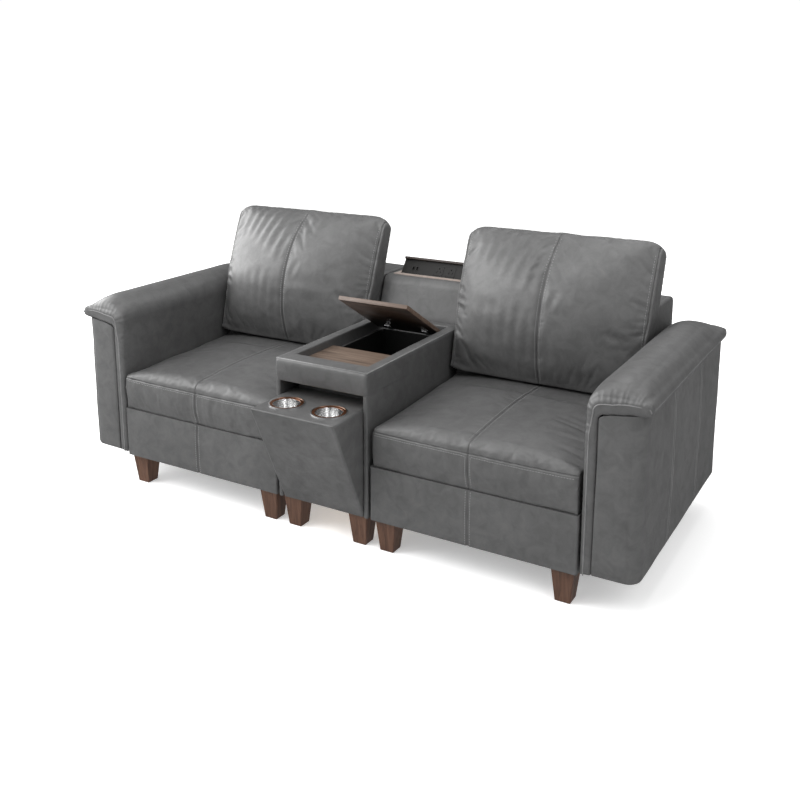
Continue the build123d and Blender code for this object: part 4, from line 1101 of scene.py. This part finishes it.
bm = bmesh.new()
corners = [bm.verts.new((-DRAWER_HALF, y, z)) for y, z in shape]
across = bmesh.ops.extrude_face_region(bm, geom=[bm.faces.new(corners)])["geom"]
far_points = [v for v in across if isinstance(v, bmesh.types.BMVert)]
bmesh.ops.translate(bm, vec=(2 * DRAWER_HALF, 0, 0), verts=far_points)
bmesh.ops.recalc_face_normals(bm, faces=bm.faces[:])
inside = [f for f in bm.faces if abs(f.normal.x) < 0.5 and (f.normal.z < -0.1 or f.normal.y > 0.9)]
bmesh.ops.delete(bm, geom=inside, context="FACES_ONLY")
round_edges(bm, lambda a, b: True, DRAWER_EDGE)
cut_grid(bm, (-DRAWER_HALF, face_y, DRAWER_FOOT), (DRAWER_HALF, rear[0], DRAWER_TOP), DRAWER_CELL)
soften(bm, DRAWER_UNEVEN, 11.0)
bmesh.ops.rotate(bm, cent=pivot, matrix=tipped, verts=bm.verts[:])
thicken(bm, DRAWER_BOARD)
wedge = put_together("cup_drawer_leather", bm, grey_leather)
for name in ("left_cup", "right_cup"):
    cup_low, cup_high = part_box(name)
    middle = ((cup_low[0] + cup_high[0]) / 2, (cup_low[1] + cup_high[1]) / 2, level)
    cut_out(wedge, middle, (0, 0, 1), CUP_HOLE)
keep_faces_flat(wedge)
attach(wedge, "cup_drawer")
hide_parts("drawer_front", "drawer_cheeks", "drawer_top")
bm = block((top_low[0], top_high[1] - STOP_LIP, level - 0.001), top_high)
lip = put_together("drawer_stop_lip", bm, grey_leather)
keep_faces_flat(lip)
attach(lip, "cup_drawer")


# Cup holders. Cups drawn from polished steel, each with a bright lip and a copper-brown ring that
# is pressed into the flange.
polished_steel = metal("polished_steel", (0.88, 0.88, 0.88), 0.2, 0)
copper_ring = metal("copper_ring", (0.22, 0.09, 0.042), 0.32, 0.1)
dress(polished_steel, "left_cup", "right_cup")
dress(copper_ring, "left_cup_ring", "right_cup_ring")


# Console backrest. The same padded leather as the seats' backrests, upright behind the rim and
# leaning above it, cut through at the top for the power unit.
CONSOLE_BACK_CELL = 0.03
CONSOLE_BACK_UNEVEN = 0.001
low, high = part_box("console_backrest")
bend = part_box("console_rim")[1][2]
well_low, well_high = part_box("power_well")
bm = block(low, high)
round_edges(bm, lambda a, b: min(a.z, b.z) > high[2] - TINY and abs(a.y - b.y) < TINY, BACK_ROLL, 6)
round_edges(bm, lambda a, b: abs(a.x - b.x) < TINY and max(a.z, b.z) > low[2] + 0.01, BACK_EDGE, 3)
cut_grid(bm, low, high, CONSOLE_BACK_CELL)
cut_at(bm, 2, (bend,))
soften(bm, CONSOLE_BACK_UNEVEN, 17.0)
for v in bm.verts:
    v.co.y += max(0, v.co.z - bend) * math.tan(BACK_LEAN) * (high[1] - v.co.y) / (high[1] - low[1])
for axis in (0, 1):
    cut_at(bm, axis, (well_low[axis], well_high[axis]))
mouth = faces_within(bm, (*well_low[:2], high[2] - 0.02), (*well_high[:2], high[2] + 1))
bmesh.ops.delete(bm, geom=mouth, context="FACES")
board_cover("console_backrest", bm)


# Power unit. A black box under a walnut flap, with sockets and charging ports in its face, in a
# bronze-brown trim that lies on the backrest's top.
bronze_trim = patterned("bronze_trim", (180, 3, 0.6, (0.1, 1, 1)), (0.36, 0.295, 0.26), (0.45, 0.38, 0.34),
                        {"Metallic": 0.3, "Roughness": 0.42})
dress(bronze_trim, "power_trim")
# The flap wears the lid's darkened walnut, whose darkness is painted shade.
dress(lid_walnut_painted_shade, "power_lid")
socket_black = patterned("socket_black", (350, 3, 0.6), (0.011, 0.0105, 0.01), (0.017, 0.0165, 0.016),
                         {"Specular IOR Level": 0.2}, (0.5, 0.6))
dress(socket_black, "power_sockets", "charging_ports", "power_box")


# Floor, light and camera. A white studio floor and backdrop, large soft lights from the left, from
# above and weakly from the right, and the camera where the photograph was taken.
floor_paint_and_glow, tree, surface, place = shader("floor_paint_and_glow")
set_up(surface, {"Base Color": (0.95, 0.95, 0.95, 1), "Roughness": 1, "Specular IOR Level": 0,
                 "Emission Color": (1, 1, 1, 1)})
# The floor glows as painted light: weakly near the sofa, so that the shadow under the sofa stays darker
# there, and more strongly further out, until the floor is as white as the backdrop.
distance = tree.nodes.new("ShaderNodeVectorMath")
distance.operation = "LENGTH"
tree.links.new(place, distance.inputs[0])
painted_glow_by_distance = tree.nodes.new("ShaderNodeMapRange")
set_up(painted_glow_by_distance, {"From Min": 1.1, "From Max": 3.2, "To Min": 0.36, "To Max": 0.85})
tree.links.new(distance.outputs["Value"], painted_glow_by_distance.inputs["Value"])
tree.links.new(painted_glow_by_distance.outputs["Result"], surface.inputs["Emission Strength"])
bm = bmesh.new()
bmesh.ops.create_grid(bm, x_segments=1, y_segments=1, size=30)
floor = put_together("studio_floor", bm, floor_paint_and_glow)
floor.visible_glossy = False

world = bpy.data.worlds.new("studio")
world.use_nodes = True
tree = world.node_tree
dome = tree.nodes["Background"]
set_up(dome, {"Color": (1, 1, 1, 1), "Strength": 0.25})
backdrop = tree.nodes.new("ShaderNodeBackground")
set_up(backdrop, {"Color": (1, 1, 1, 1), "Strength": 1.02})
seen = tree.nodes.new("ShaderNodeMixShader")
tree.links.new(tree.nodes.new("ShaderNodeLightPath").outputs["Is Camera Ray"], seen.inputs["Fac"])
tree.links.new(dome.outputs["Background"], seen.inputs[1])
tree.links.new(backdrop.outputs["Background"], seen.inputs[2])
tree.links.new(seen.outputs["Shader"], tree.nodes["World Output"].inputs["Surface"])
bpy.context.scene.world = world
bpy.context.scene.view_settings.view_transform = "Standard"


def look_from(name, data, place, target):
    """Puts a lamp or the camera at a place, turned towards a target."""
    thing = bpy.data.objects.new(name, data)
    thing.location = place
    thing.rotation_euler = (Vector(target) - Vector(place)).to_track_quat("-Z", "Y").to_euler()
    bpy.context.scene.collection.objects.link(thing)
    return thing


LIGHT_SIZE = 2.8
LIGHT_TARGET = (0, 0, 0.4)
LIGHTS = (
    ("key", (-3.0, -2.2, 2.7), 145), ("side", (-4.0, 0.0, 1.6), 178), ("top", (0, -0.2, 4.0), 78),
    ("front", (-0.8, -2.6, 3.0), 50), ("rear", (0.6, 2.2, 3.4), 42), ("fill", (3.2, -1.2, 2.7), 62),
)
for name, place, power in LIGHTS:
    lamp = bpy.data.lights.new(name, "AREA")
    lamp.size = LIGHT_SIZE
    lamp.energy = power
    look_from(name, lamp, place, LIGHT_TARGET)

lens = bpy.data.cameras.new("camera")
lens.lens = 43.72
lens.sensor_width = 36
lens.shift_x = 0.0046
lens.shift_y = -0.165
bpy.context.scene.camera = look_from("camera", lens, (1.5823, -2.6096, 1.4235), (0.0073, 0.0857, 0.7662))
